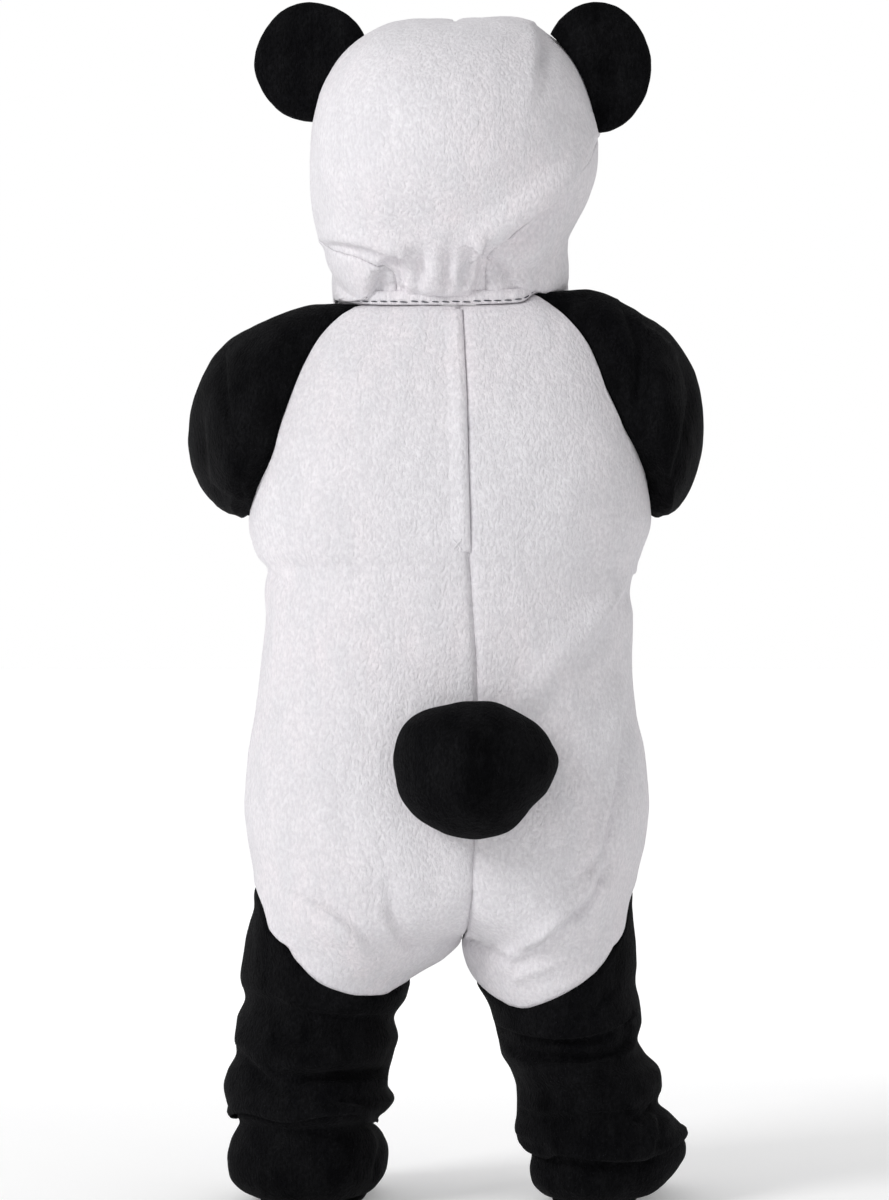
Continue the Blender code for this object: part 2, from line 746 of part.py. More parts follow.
def wall(grid, normals, wrap, thick):
    """Points and faces of a closed wall: the outer grid, the inner grid and the edges between."""
    rows, columns, _ = grid.shape
    outer = trimmed(grid, normals, wrap, SEAM_GAP / 2)
    inner = outer - normals * thick
    points = np.concatenate((outer.reshape(-1, 3), inner.reshape(-1, 3)))
    count = rows * columns
    flat = outer.reshape(-1, 3)
    faces = []
    for a, b, c, d in faces_of(rows, columns, wrap):
        if np.linalg.norm(flat[a] - flat[c]) <= np.linalg.norm(flat[b] - flat[d]):
            halves = (a, b, c), (a, c, d)
        else:
            halves = (a, b, d), (b, c, d)
        faces += halves
        faces += [tuple(i + count for i in half[::-1]) for half in halves]
    index = np.arange(count).reshape(rows, columns)
    loops = []
    if wrap:
        loops.append(list(index[0]))
        loops.append(list(index[-1][::-1]))
    else:
        ring = list(index[0]) + list(index[1:, -1]) + list(index[-1, -2::-1]) + list(index[-2:0:-1, 0])
        loops.append(ring)
    # Both cloths at a seam split the edge between them the same way, so that a twisted seam stays open
    places = np.round(grid.reshape(-1, 3), 1).tolist()
    for loop in loops:
        for a, b in zip(loop, loop[1:] + loop[:1]):
            if places[a] < places[b]:
                faces += [(b, a, b + count), (a, a + count, b + count)]
            else:
                faces += [(b, a, a + count), (b, a + count, b + count)]
    return points, faces


def material(name):
    made = bpy.data.materials.new(f"{name}_plush")
    made.use_nodes = True
    shader = made.node_tree.nodes["Principled BSDF"]
    shader.inputs["Base Color"].default_value = COLOURS[name]
    shader.inputs["Roughness"].default_value = ROUGH[name]
    shader.inputs["Metallic"].default_value = 0
    made.diffuse_color = COLOURS[name]
    return made


def add_object(name, points, faces, colour, collection, flip=False):
    mesh = bpy.data.meshes.new(name)
    if flip:
        faces = [tuple(face[::-1]) for face in faces]
    mesh.from_pydata((np.asarray(points) * MM).tolist(), [], [tuple(int(i) for i in face) for face in faces])
    mesh.update()
    mesh.shade_smooth()
    mesh.materials.append(material(colour))
    made = bpy.data.objects.new(name, mesh)
    collection.objects.link(made)
    return made


def add_ball(name, middle, half, colour, collection, shape, faces):
    """A stuffed piece: a round ball set to its half sizes and then shaped by its own rule."""
    ball = bmesh.new()
    bmesh.ops.create_uvsphere(ball, u_segments=faces[0], v_segments=faces[1], radius=1)
    for vertex in ball.verts:
        # The ball's poles face the back and the front, so that its rim seam is a ring of points
        unit = np.array((vertex.co.x, vertex.co.z, vertex.co.y))
        vertex.co = shape(unit, np.array(middle), np.array(half)) * MM
    bmesh.ops.reverse_faces(ball, faces=ball.faces)
    mesh = bpy.data.meshes.new(name)
    ball.to_mesh(mesh)
    ball.free()
    mesh.shade_smooth()
    mesh.materials.append(material(colour))
    made = bpy.data.objects.new(name, mesh)
    collection.objects.link(made)
    return made


def ear_shape(unit, middle, half):
    """A flat stuffed disc whose base follows the hood, just clear of it."""
    full = np.array((unit[0], np.sign(unit[1]) * abs(unit[1]) ** EAR_FULL, unit[2]))
    outside, inside = 0.0, 2.0
    for _ in range(EAR_HALVINGS):
        share = (outside + inside) / 2
        way = middle + half * full * min(share, 1) - HEAD
        length = np.linalg.norm(way)
        if length > hood_reach(way / length) + LAID_ON:
            outside = share
        else:
            inside = share
    return middle + half * full * min(outside, 1)


def tail_shape(unit, middle, half):
    """A flattened ball with slow lumps, flatter towards the back panels."""
    angle = math.atan2(unit[2], unit[0])
    lump = 1 + TAIL_LUMPS * (math.sin(3 * angle + 0.6) + 0.6 * math.sin(5 * angle + 2))
    deep = TAIL_INNER if unit[1] > 0 else half[1]
    return middle + unit * (half[0] * lump, deep, half[2] * lump)


def add_neckband(collection):
    """A turned band all round the neckline, between the hood and the panels."""
    halves = []
    for side in (LEFT, RIGHT):
        back, front = raglan(side, -1)[0][0], raglan(side, 1)[0][0]
        turn = np.concatenate((
            np.linspace(0, back, NECK_STEPS + 1),
            np.linspace(back, front, SHOULDER_STEPS + 1)[1:-1],
            np.linspace(front, 1, NECK_STEPS + 1),
        ))
        halves.append(body_point(side, turn, neck_height(side, turn)))
    ring = np.concatenate((halves[0], halves[1][-2:0:-1]))
    ahead, behind = np.roll(ring, -1, 0), np.roll(ring, 1, 0)
    along = (ahead - behind) * (1, 1, 0)
    outward = np.stack((-along[:, 1], along[:, 0], 0 * along[:, 0]), -1)
    outward /= np.linalg.norm(outward, axis=1, keepdims=True)
    if ((ring - ring.mean(0)) * outward).sum() < 0:
        outward = -outward
    inside = BAND_PROUD - BAND_THICK
    corners = (
        (BAND_PROUD, BAND_GAP),
        (BAND_PROUD, BAND_GAP + BAND_HEIGHT),
        (inside, BAND_GAP + BAND_HEIGHT),
        (inside, BAND_GAP),
    )
    grid = np.array([ring + outward * out + (0, 0, up) for out, up in corners + corners[:1]])
    points = grid[:-1].reshape(-1, 3)
    count = len(ring)
    faces = []
    for r in range(len(corners)):
        this, following = r * count, (r + 1) % len(corners) * count
        for c in range(count):
            d = (c + 1) % count
            faces.append((this + c, this + d, following + d, following + c))
    add_object("neckband", points, faces, "white", collection, flip=True)


def add_placket(collection):
    """A narrow strip on the left back panel, along the closing edge."""
    z = np.linspace(PLACKET_TOP, PLACKET_END, PLACKET_ROWS)[:, None]
    middle = through(TORSO["z"], TORSO["middle"], z)
    x = middle - SEAM_GAP - PLACKET_WIDE * np.array((1, 0.5, 0))
    under = body_point(LEFT, turn_at(LEFT, x, z, -1), z + 0 * x)
    outward = np.array((0, -1, 0))
    grid = under + outward * (LAID_ON + PLACKET_THICK)
    points, faces = wall(grid, np.broadcast_to(outward, grid.shape), False, PLACKET_THICK)
    add_object("placket", points, faces, "white", collection, flip=True)


def add_sole(side, name, collection):
    """A flat sole under the foot, as wide as the foot's lowest ring."""
    turn = np.linspace(0, 1, LEG_COLUMNS + 1)[:-1]
    ring = body_point(side, turn, 0 * turn + FLOOR + SOLE)
    middle = ring.mean(0)
    top = ring - (0, 0, SEAM_GAP)
    bottom = middle + (ring - middle) * SOLE_TAPER
    bottom[:, 2] = FLOOR
    points = np.concatenate((top, bottom, [middle - (0, 0, SEAM_GAP), (middle[0], middle[1], FLOOR)]))
    count = len(turn)
    faces = []
    for c in range(count):
        d = (c + 1) % count
        faces.append((c, d, count + d, count + c))
        faces.append((d, c, 2 * count))
        faces.append((count + c, count + d, 2 * count + 1))
    add_object(name, points, faces, "black", collection, flip=side > 0)


def main():
    for old in list(bpy.data.objects):
        bpy.data.objects.remove(old)
    collection = bpy.data.collections.new("panda_costume")
    bpy.context.scene.collection.children.link(collection)
    pieces = cut_pieces()
    normals = shared_normals(pieces)
    for name, (colour, grid, wrap, flip) in pieces.items():
        points, faces = wall(grid, normals[name], wrap, WALL)
        add_object(name, points, faces, colour, collection, flip=flip < 0)
    add_neckband(collection)
    add_placket(collection)
    add_sole(LEFT, "sole_left", collection)
    add_sole(RIGHT, "sole_right", collection)
    for row, name in zip(zip(*EARS.values()), ("ear_left", "ear_right")):
        add_ball(name, row[1:4], row[4:7], "black", collection, ear_shape, BALL_FACES["ear"])
    row = [column[0] for column in TAIL.values()]
    add_ball("tail", row[:3], row[3:], "black", collection, tail_shape, BALL_FACES["tail"])


main()
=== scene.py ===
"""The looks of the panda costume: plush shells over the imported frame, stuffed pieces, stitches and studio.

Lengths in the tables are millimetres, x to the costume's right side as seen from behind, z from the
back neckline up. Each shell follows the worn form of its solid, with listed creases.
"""

import math

import bpy
import numpy as np
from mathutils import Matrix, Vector, noise


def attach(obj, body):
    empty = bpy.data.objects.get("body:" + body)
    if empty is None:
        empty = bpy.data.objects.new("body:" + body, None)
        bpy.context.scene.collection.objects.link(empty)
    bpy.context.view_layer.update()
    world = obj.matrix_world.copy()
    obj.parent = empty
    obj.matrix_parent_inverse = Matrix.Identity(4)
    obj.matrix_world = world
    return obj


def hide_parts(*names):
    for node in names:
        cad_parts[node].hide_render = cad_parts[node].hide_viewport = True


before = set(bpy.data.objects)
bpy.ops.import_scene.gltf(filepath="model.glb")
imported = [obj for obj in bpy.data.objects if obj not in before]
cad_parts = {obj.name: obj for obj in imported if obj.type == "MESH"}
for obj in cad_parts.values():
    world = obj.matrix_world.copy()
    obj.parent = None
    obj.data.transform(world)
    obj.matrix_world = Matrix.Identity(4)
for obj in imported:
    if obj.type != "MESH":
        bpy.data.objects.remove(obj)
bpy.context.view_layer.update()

MM = 0.001
BOXY = 2.3
LEAST_TURN = 0.012
CROTCH = -423.0
INSEAM = -448.0
FLOOR = -591.5
SOLE = 2.4
SOLE_TAPER = 0.985
BAND_HEIGHT = 7.0
BAND_GAP = 0.5
LAID_ON = 0.4
LEFT, RIGHT = -1, 1
SHELL = 1.7

# Grid counts of the solids, and how many times finer the shells are across and down
NECK_STEPS = 4
RAGLAN_STEPS = 8
SHOULDER_STEPS = 6
ACROSS = 6
YOKE_ROWS, SEAT_ROWS, INSEAM_ROWS, LEVEL_ROWS = 64, 34, 14, 84
PANEL_LEVELS = (-160, -172, -184, -198, -213, -243, -274, -305, -333, -350)
SLEEVE_ROWS = 104
SLEEVE_FOLD_SHARE = 4 / 14
LEG_COLUMNS = 2 * (NECK_STEPS + RAGLAN_STEPS) * ACROSS
LEG_ROWS, FOOT_ROWS = 96, 44
HOOD_NAPE_STEPS = 30
HOOD_SEAM_STEPS = 66
HOOD_ACROSS = 84
HOOD_CORNER_SPAN = 0.04
FACE_END_SPAN = 0.2

# Dressing of the cloth
SEEDS = (11.0, 37.0, 71.0, 5)
SWELL = {"white": (0.9, 0.35), "black": (1.0, 0.5)}
SWELL_SCALE, SMALL_SCALE, PUCKER_SCALE = 62.0, 17.0, 6.0
SEAM_EASE, SEAM_HOLD = 7.0, 0.45
SEAM_DEEP, SEAM_WIDE, SEAM_PUCKER = 1.5, 2.6, 0.35
HEM_DEEP = {"sleeve": 9.0, "leg": 3.5, "hood": 9.0, "back": 9.0, "front": 9.0, "foot": 9.0}
HEM_PROUD = {"sleeve": 0.9, "leg": 2.4, "hood": 0.8, "back": 0.0, "front": 0.0, "foot": 0.0}
HEM_GROOVE = {"sleeve": 0.7, "leg": 0.0, "hood": 0.7, "back": 0.0, "front": 0.0, "foot": 0.0}
HEM_EASE, HEM_GROOVE_WIDE = 4.0, 1.6
LOBE_FROM, LOBE_EASE, LOBE_HIGH, LOBE_OUT, LOBE_DOWN = 42.0, 14.0, 16.0, 4.5, 7.5
TUCK, TUCK_WIDE = 2.2, 5.0
NAPE_TUCK, NAPE_TUCK_WIDE = 5.0, 5.0
BAND_STEPS, BAND_SECTION = 150, 14
BAND_PUFF, BAND_DEEP, BAND_TALL, BAND_DOWN = 1.5, 1.8, 9.0, -0.6
BAND_DIP, BAND_DIP_WIDE = 0.45, 0.8
STITCH_UP, STITCH_OUT, STITCH_THICK = 1.9, 1.1, 0.75
STITCH_PITCH, STITCH_LONG = 6.6, 5.0
PLACKET_ROWS, PLACKET_ACROSS, PLACKET_OVER, PLACKET_PROUD = 90, 16, 1.2, 2.1
PLACKET_PEAK = 0.72
TACK_X, TACK_Z, TACK_HALF, TACK_OUT, TACK_THICK = 5.0, -167.0, 2.8, 0.5, 0.95
EAR_RIM, EAR_LUMP, EAR_SWELL = 1.2, 0.35, 0.8
TAIL_RIM, TAIL_EDGE, TAIL_SWELL = 1.6, 0.008, 1.4

# Finishes and light
WHITE = {
    "base": (0.85, 0.835, 0.865, 1), "tint": (0.86, 0.815, 0.845, 1), "brushed": (0.79, 0.775, 0.805, 1),
    "deep": (0.60, 0.575, 0.61, 1), "patch": 60.0, "broad": 7.0, "pile": 520.0, "speckle": 0.5,
    "rough": 0.92, "sheen": 0.35, "sheen_rough": 0.45, "sheen_tint": (1, 0.98, 1, 1), "specular": 0.15,
    "patch_bump": 0.45, "pile_bump": 0.6,
}
BLACK = {
    "base": (0.0022, 0.0022, 0.0026, 1), "tint": (0.0045, 0.0045, 0.0055, 1), "brushed": (0.0095, 0.0095, 0.0105, 1),
    "deep": (0.0006, 0.0006, 0.0008, 1), "patch": 60.0, "broad": 10.0, "pile": 620.0, "speckle": 0.55,
    "rough": 0.8, "sheen": 0.022, "sheen_rough": 0.3, "sheen_tint": (0.8, 0.8, 0.85, 1), "specular": 0.03,
    "patch_bump": 0.7, "pile_bump": 1.0,
}
WORLD_ROOM, WORLD_BACKDROP = 0.48, 1.0
# Painted light: the floor glows, more strongly further from the camera, so it reads as white and throws light up
# onto the costume
FLOOR_FROM, FLOOR_TO, FLOOR_GLOW_NEAR, FLOOR_GLOW_FAR = 0.0, 1.4, 0.22, 0.5
LIGHTS = (
    ("key", (-2.1, -1.75, 1.3), (0, 0, -0.15), 46, 1.0),
    ("fill", (2.2, -1.6, 0.2), (0, 0, -0.2), 3, 1.8),
)
CAMERA_AT, CAMERA_LENS, CAMERA_SENSOR = (-0.003, -2.6, -0.202), 120, 36


def table(names, *rows):
    """A short table as named columns, with one value for each row."""
    return dict(zip(names.split(), np.array(rows, float).T))


# Sections of the body from the neck to the crotch: outline, closing seam, cleft between the legs, depths
TORSO = table(
    "z      left    middle  right  cleft  back   front",
    (8,     -52,    6,      60,    0,     42,    34),
    (-8,    -70,    6.5,    80,    0,     50,    42),
    (-20,   -92,    7.3,    98,    0,     58,    50),
    (-40,   -110,   8.3,    114,   0,     67,    62),
    (-72,   -122,   9.8,    123,   0,     78,    74),
    (-105,  -129,   10.6,   130,   0,     84,    82),
    (-148,  -131,   11.8,   131,   0,     87,    87),
    (-172,  -125,   12.5,   125,   0,     86,    88),
    (-183,  -118.5, 13.4,   120.5, 0,     84,    87),
    (-198,  -120,   14.3,   117.5, 0,     84,    87),
    (-213,  -119,   15.3,   119.5, 0,     85,    88),
    (-243,  -122,   17.2,   119,   0,     85,    89),
    (-274,  -126,   18,     121.5, 0,     87,    91),
    (-305,  -131,   17.5,   127.5, 0,     89,    92),
    (-333,  -132.5, 16.5,   129.5, 0.04,  90,    90),
    (-358,  -130.5, 15.6,   126.8, 0.1,   89,    87),
    (-380,  -127,   14.8,   122,   0.22,  86,    83),
    (-398,  -126.5, 13.4,   118.5, 0.42,  81,    77),
    (-412,  -129.5, 11.5,   120,   0.7,   74,    71),
    (-423,  -132,   8,      121.3, 1,     67,    66),
)

# Sections of each leg and foot down to the floor, with the scrunched folds of the cloth
LEG_LEFT = table(
    "z       inner   outer    back  front",
    (-435,   -4,     -134.5,  63,   64),
    (-447,   -23,    -136,    61,   62),
    (-460,   -28,    -133,    60,   60),
    (-474,   -36,    -138,    57,   58),
    (-486,   -33,    -139,    61,   62),
    (-495,   -35.5,  -138.5,  62,   62),
    (-508,   -39,    -145,    55,   56),
    (-518,   -39.7,  -147,    61,   60),
    (-526,   -35.5,  -145.5,  63,   62),
    (-534,   -41,    -142,    58,   59),
    (-540,   -50,    -136.5,  51,   60),
    (-552,   -43,    -141.5,  52,   74),
    (-563,   -40.5,  -143.5,  54,   89),
    (-574,   -42,    -142,    54,   95),
    (-583,   -47.5,  -135,    50,   95),
    (-589.5, -56,    -121,    41,   87),
)
LEG_RIGHT = table(
    "z       inner   outer    back  front",
    (-437,   11,     122,     62,   64),
    (-450,   17.5,   121,     60,   62),
    (-463,   25,     124,     58,   60),
    (-475,   29,     125,     59,   61),
    (-486,   32,     122,     57,   59),
    (-496,   34,     126.8,   53,   56),
    (-507,   40,     137.5,   60,   61),
    (-519,   44,     138.7,   58,   60),
    (-527,   44.5,   136.5,   55,   58),
    (-536,   44,     145,     58,   66),
    (-545,   42.5,   152,     57,   74),
    (-555,   50,     154,     52,   84),
    (-562,   54,     153.5,   46,   92),
    (-569,   53,     150,     47,   99),
    (-578,   54.5,   143,     47,   104),
    (-585,   60,     135,     43,   104),
    (-589.5, 68,     121,     34,   96),
)
# Height of each leg's rolled hem round the leg
LEG_HEM = {
    LEFT: table(
        "turn   z",
        (0,     -541),
        (0.1,   -536),
        (0.17,  -528),
        (0.22,  -528.5),
        (0.29,  -532),
        (0.37,  -529),
        (0.44,  -533),
        (0.5,   -538),
        (0.6,   -542),
        (0.8,   -539),
        (1,     -541),
    ),
    RIGHT: table(
        "turn   z",
        (0,     -553),
        (0.08,  -556),
        (0.13,  -557.5),
        (0.17,  -553.5),
        (0.25,  -555.5),
        (0.35,  -556.5),
        (0.42,  -553),
        (0.5,   -549),
        (0.6,   -556),
        (0.75,  -562),
        (1,     -553),
    ),
}
TOE_TURN = 0.12
TOE_TOP, TOE_RISE = -530.0, 30.0

# Height of the leg seam round the leg: turn is 0 at the inseam, 0.5 at the side, 1 at the inseam again
LEG_SEAM = {
    LEFT: table(
        "turn   z",
        (0,     -448),
        (0.07,  -450.5),
        (0.125, -454.8),
        (0.18,  -454),
        (0.231, -449.5),
        (0.286, -440.8),
        (0.335, -429),
        (0.365, -417),
        (0.404, -401.5),
        (0.45,  -391),
        (0.5,   -387),
        (0.56,  -397),
        (0.63,  -421),
        (0.7,   -441),
        (0.78,  -452),
        (0.88,  -455),
        (1,     -448),
    ),
    RIGHT: table(
        "turn   z",
        (0,     -448),
        (0.04,  -453),
        (0.071, -457.5),
        (0.115, -462),
        (0.151, -463),
        (0.205, -459),
        (0.286, -448.5),
        (0.347, -435.2),
        (0.385, -421.5),
        (0.412, -408),
        (0.45,  -395),
        (0.5,   -388),
        (0.56,  -399),
        (0.63,  -424),
        (0.7,   -444),
        (0.78,  -456),
        (0.88,  -460),
        (1,     -448),
    ),
}

# Height of the panels' neck edge, turn running from the back middle over the side to the front middle
NECK_EDGE = {
    LEFT: table(
        "turn   z",
        (0,     -13.5),
        (0.14,  -13.2),
        (0.28,  -11.5),
        (0.5,   -9),
        (0.72,  -17),
        (0.9,   -27),
        (1,     -29),
    ),
    RIGHT: table(
        "turn   z",
        (0,     -13.5),
        (0.14,  -11.5),
        (0.24,  -4.5),
        (0.5,   -2),
        (0.72,  -14),
        (0.9,   -26),
        (1,     -29),
    ),
}

# Raglan seams from the neck edge to the underarm, seen from behind and from the front
RAGLAN_BACK = {
    LEFT: table(
        "x      z",
        (-56.5, -11.5),
        (-70,   -20),
        (-78,   -34),
        (-85,   -49),
        (-93,   -62),
        (-108,  -93),
        (-115,  -113),
        (-123,  -129),
        (-131,  -148),
    ),
    RIGHT: table(
        "x      z",
        (54,    -4),
        (60,    -8),
        (71,    -24),
        (91,    -51),
        (103,   -72),
        (112,   -92),
        (122,   -111),
        (127.5, -125),
        (131,   -148),
    ),
}
RAGLAN_FRONT = table(
    "out   z",
    (42,   -18),
    (55,   -38),
    (66,   -62),
    (78,   -88),
    (94,   -112),
    (113,  -132),
    (131,  -148),
)

# Rings of the sleeves: out from the middle, heading 0 points sideways and 90 forward, half sizes
SHOULDER_REACH = 0.98
ARMPIT_RING = 4
SLEEVE_LEFT = table(
    "out    y      z      heading  dip   wide   tall",
    (115,   -5,    -81,   12,      -18,  51,    73),
    (126.5, 4,     -86,   24,      -8,   50,    65),
    (137,   27,    -91,   45,      0,    41,    58),
    (141,   55,    -98,   70,      0,    33,    44),
    (138,   82,    -100,  90,      0,    31,    37),
    (128,   116,   -96,   98,      -3,   30,    32),
)
SLEEVE_RIGHT = table(
    "out    y      z      heading  dip   wide   tall",
    (117,   -5,    -75.5, 12,      -18,  51,    78),
    (127.5, 4,     -82,   24,      -8,   50,    69),
    (136,   27,    -88,   45,      0,    40,    62),
    (137,   55,    -97,   70,      0,    32,    45),
    (134,   82,    -98,   90,      0,    31,    37),
    (125,   116,   -95,   98,      -3,   30,    32),
)

# Hood: reach from the head's middle at each elevation, to each side
HEAD = np.array((4.0, -5.0, 88.0))
HOOD_BOXY = 2.2
HOOD = table(
    "elevation  left   back   right  front",
    (90,        83.8,  83.8,  83.8,  83.8),
    (76,        86,    85,    86.5,  85),
    (56,        93,    92,    97.5,  90),
    (35,        96,    98,    97,    90),
    (14,        95,    101,   94.5,  88),
    (0,         94,    101,   93,    88),
    (-18,       98,    98,    94,    90),
    (-34,       106,   95,    99,    94),
    (-49,       119,   95,    110,   98),
    (-58,       110,   97,    108,   104),
    (-70,       100,   96,    100,   112),
)

# Hood seams as directions from the head's middle, from the nape to the forehead; azimuth 0 is the back
HOOD_SEAM = {
    LEFT: table(
        "step  azimuth  elevation",
        (0.1,  -38,     -52),
        (0.2,  -50,     -43),
        (0.35, -88,     -31),
        (0.55, -106,    -8),
        (0.8,  -129,    30),
        (1,    -152,    42),
    ),
    RIGHT: table(
        "step  azimuth  elevation",
        (0.1,  20,      -50),
        (0.2,  27,      -37),
        (0.35, 52,      -16),
        (0.55, 90,      6),
        (0.8,  128,     36),
        (1,    152,     42),
    ),
}
HOOD_MIDDLE = table(
    "step  azimuth  elevation",
    (0,    -6,      -62),
    (0.2,  -6,      -34),
    (0.35, -5,      0),
    (0.55, 0,       58),
    (0.8,  0,       104),
    (1,    0,       130),
)
HOOD_CORNER = {LEFT: 0.14, RIGHT: 0.05}
HOOD_CORNER_STEP = 0.2
HOOD_TUCK = 2.2
FACE_EDGE = table(
    "step  azimuth  elevation",
    (0,    152,     42),
    (0.3,  140,     12),
    (0.6,  134,     -16),
    (0.85, 152,     -42),
    (1,    180,     -62),
)

# Stuffed pieces: middle, half sizes
EARS = table(
    "side   x     y    z      wide   deep  tall",
    (-1,    -89,  6,   148.5, 38.2,  10,   38.8),
    (1,     94.7, -30, 140.2, 35,    10,   42.7),
)
EAR_FULL = 0.8
EAR_HALVINGS = 24
TAIL = table("x y z wide deep tall", (14.7, -105.7, -306.6, 51.4, 38, 43.3))
TAIL_INNER = 16.0
TAIL_LUMPS = 0.035

PLACKET_WIDE = 12.5
PLACKET_TOP, PLACKET_END = -17.0, -172.0

# Large folds seen from behind: a line from (x, z) to (x, z), how far it lifts and its half width
FOLD_FADE = 25.0
FOLD_FRONT, SLEEVE_FOLD_FRONT = -25.0, 20.0
BODY_FOLDS = table(
    "x_from  z_from  x_to   z_to   lift  spread",
    (116,    -268,   97,    -388,  4,    13),
    (97,     -388,   44,    -434,  4.5,  12),
    (108,    -300,   84,    -392,  -4,   11),
    (118,    -190,   70,    -250,  3.5,  14),
    (-118,   -182,   -84,   -196,  -3,   12),
    (-102,   -397,   -53,   -428,  4,    12),
    (-41,    -388,   -22,   -424,  -3,   11),
)
HOOD_FOLDS = table(
    "x_from  z_from  x_to   z_to   lift  spread",
    (78,     66,     21,    25,    5,    11),
    (84,     52,     34,    20,    -3.5, 9),
    (-85,    32,     -34,   18,    3,    10),
    (-8,     6,      -2,    24,    4,    16),
)
SLEEVE_FOLDS = table(
    "x_from  z_from  x_to   z_to   lift  spread",
    (-145,   -46,    -143,  -72,   -4,   9),
    (-163,   -74,    -158,  -123,  -4.5, 9),
    (-158,   -123,   -131,  -142,  -4.5, 9),
    (-151,   -80,    -147,  -116,  3,    10),
    (112,    -11,    120,   -36,   -3.5, 9),
    (120,    -36,    119,   -79,   -3.5, 9),
    (150,    -43,    155,   -72,   -4.5, 9),
    (155,    -72,    135,   -134,  -4.5, 9),
    (137,    -60,    140,   -100,  3,    10),
)

# Creases: one soft ridge (lift over 0) or trough (under 0) for each number, through its points in turn;
# face is -1 for the back and 1 for the front
CREASES = "crease  face  x  z  lift  spread"
BODY_CREASES = table(
    CREASES,
    (5,  -1, 118,  -190, 0,    9),
    (5,  -1, 94,   -214, 1.6,  9),
    (5,  -1, 60,   -250, 1.5,  10),
    (5,  -1, 30,   -292, 0,    10),
    (6,  -1, 118,  -204, 0,    8),
    (6,  -1, 90,   -233, -1.6, 8),
    (6,  -1, 55,   -276, -1.2, 9),
    (6,  -1, 36,   -310, 0,    9),
    (7,  -1, -96,  -178, 0,    13),
    (7,  -1, -50,  -180, 1.3,  13),
    (7,  -1, 10,   -182, 1.5,  13),
    (7,  -1, 60,   -181, 1.3,  13),
    (7,  -1, 96,   -180, 0,    13),
    (12, -1, -60,  -300, 0,    12),
    (12, -1, -66,  -350, -1.4, 12),
    (12, -1, -50,  -392, 0,    12),
    (13, -1, -34,  -352, 0,    5),
    (13, -1, -44,  -370, -1.6, 6),
    (13, -1, -50,  -396, 0,    8),
    (14, -1, 66,   -350, 0,    6),
    (14, -1, 74,   -378, -1.8, 6),
    (14, -1, 70,   -398, 0,    7),
    (15, 1,  -110, -190, -2,   6),
    (15, 1,  -70,  -202, -2.4, 7),
    (15, 1,  -20,  -200, 0,    8),
    (16, 1,  108,  -196, -2.4, 6),
    (16, 1,  64,   -214, -2,   8),
    (16, 1,  24,   -220, 0,    8),
    (17, 1,  -92,  -380, 0,    8),
    (17, 1,  -66,  -410, -2.8, 7),
    (17, 1,  -30,  -430, -3,   6),
    (17, 1,  -8,   -436, 0,    6),
    (18, 1,  96,   -372, 0,    8),
    (18, 1,  70,   -404, 3,    8),
    (18, 1,  34,   -428, -3,   6),
    (18, 1,  14,   -436, 0,    6),
    (19, 1,  60,   -60,  0,    7),
    (19, 1,  84,   -100, -2,   7),
    (19, 1,  96,   -136, 0,    7),
    (20, 1,  -58,  -64,  0,    7),
    (20, 1,  -80,  -104, -2.2, 7),
    (20, 1,  -98,  -140, 0,    7),
)
HOOD_CREASES = table(
    CREASES,
    (3, -1, 59,  158, 0,    5),
    (3, -1, 58,  144, -1.6, 5),
    (3, -1, 54,  128, 0,    6),
    (4, -1, 74,  118, 0,    8),
    (4, -1, 78,  108, -1.8, 7),
    (4, -1, 72,  98,  0,    8),
    (5, -1, -34, 20,  0,    3.6),
    (5, -1, -30, 12,  -2.4, 3.2),
    (5, -1, -28, 2,   -2,   3),
    (6, -1, -16, 24,  0,    4),
    (6, -1, -18, 12,  -2.2, 3.2),
    (6, -1, -18, 0,   -2.4, 3),
    (7, -1, 2,   26,  0,    4),
    (7, -1, 0,   13,  -2,   3.2),
    (7, -1, -2,  0,   -2.2, 3),
    (8, -1, 14,  24,  0,    4),
    (8, -1, 12,  14,  -2.6, 3.2),
    (8, -1, 9,   2,   -2.2, 3),
    (9, -1, 36,  16,  0,    4),
    (9, -1, 30,  9,   -2.4, 3.4),
    (9, -1, 26,  2,   -2,   3),
    (10, -1, -9, 20,  1,    4),
    (10, -1, -9, 6,   3,    5),
    (11, -1, 5,  20,  1,    4),
    (11, -1, 4,  6,   2.4,  4.5),
)
SLEEVE_CREASES = table(
    CREASES,
    (5,  -1, -146, -84,  0,    8),
    (5,  -1, -136, -82,  -2,   7),
    (5,  -1, -126, -84,  0,    8),
    (11, -1, 136,  -108, 0,    6),
    (11, -1, 134,  -124, -2.4, 5),
    (11, -1, 131,  -144, 0,    4),
    (12, 1,  -112, -84,  0,    6),
    (12, 1,  -122, -104, -3,   6),
    (12, 1,  -134, -126, 0,    6),
    (13, 1,  112,  -80,  0,    6),
    (13, 1,  124,  -100, -3,   6),
    (13, 1,  134,  -124, 0,    6),
)
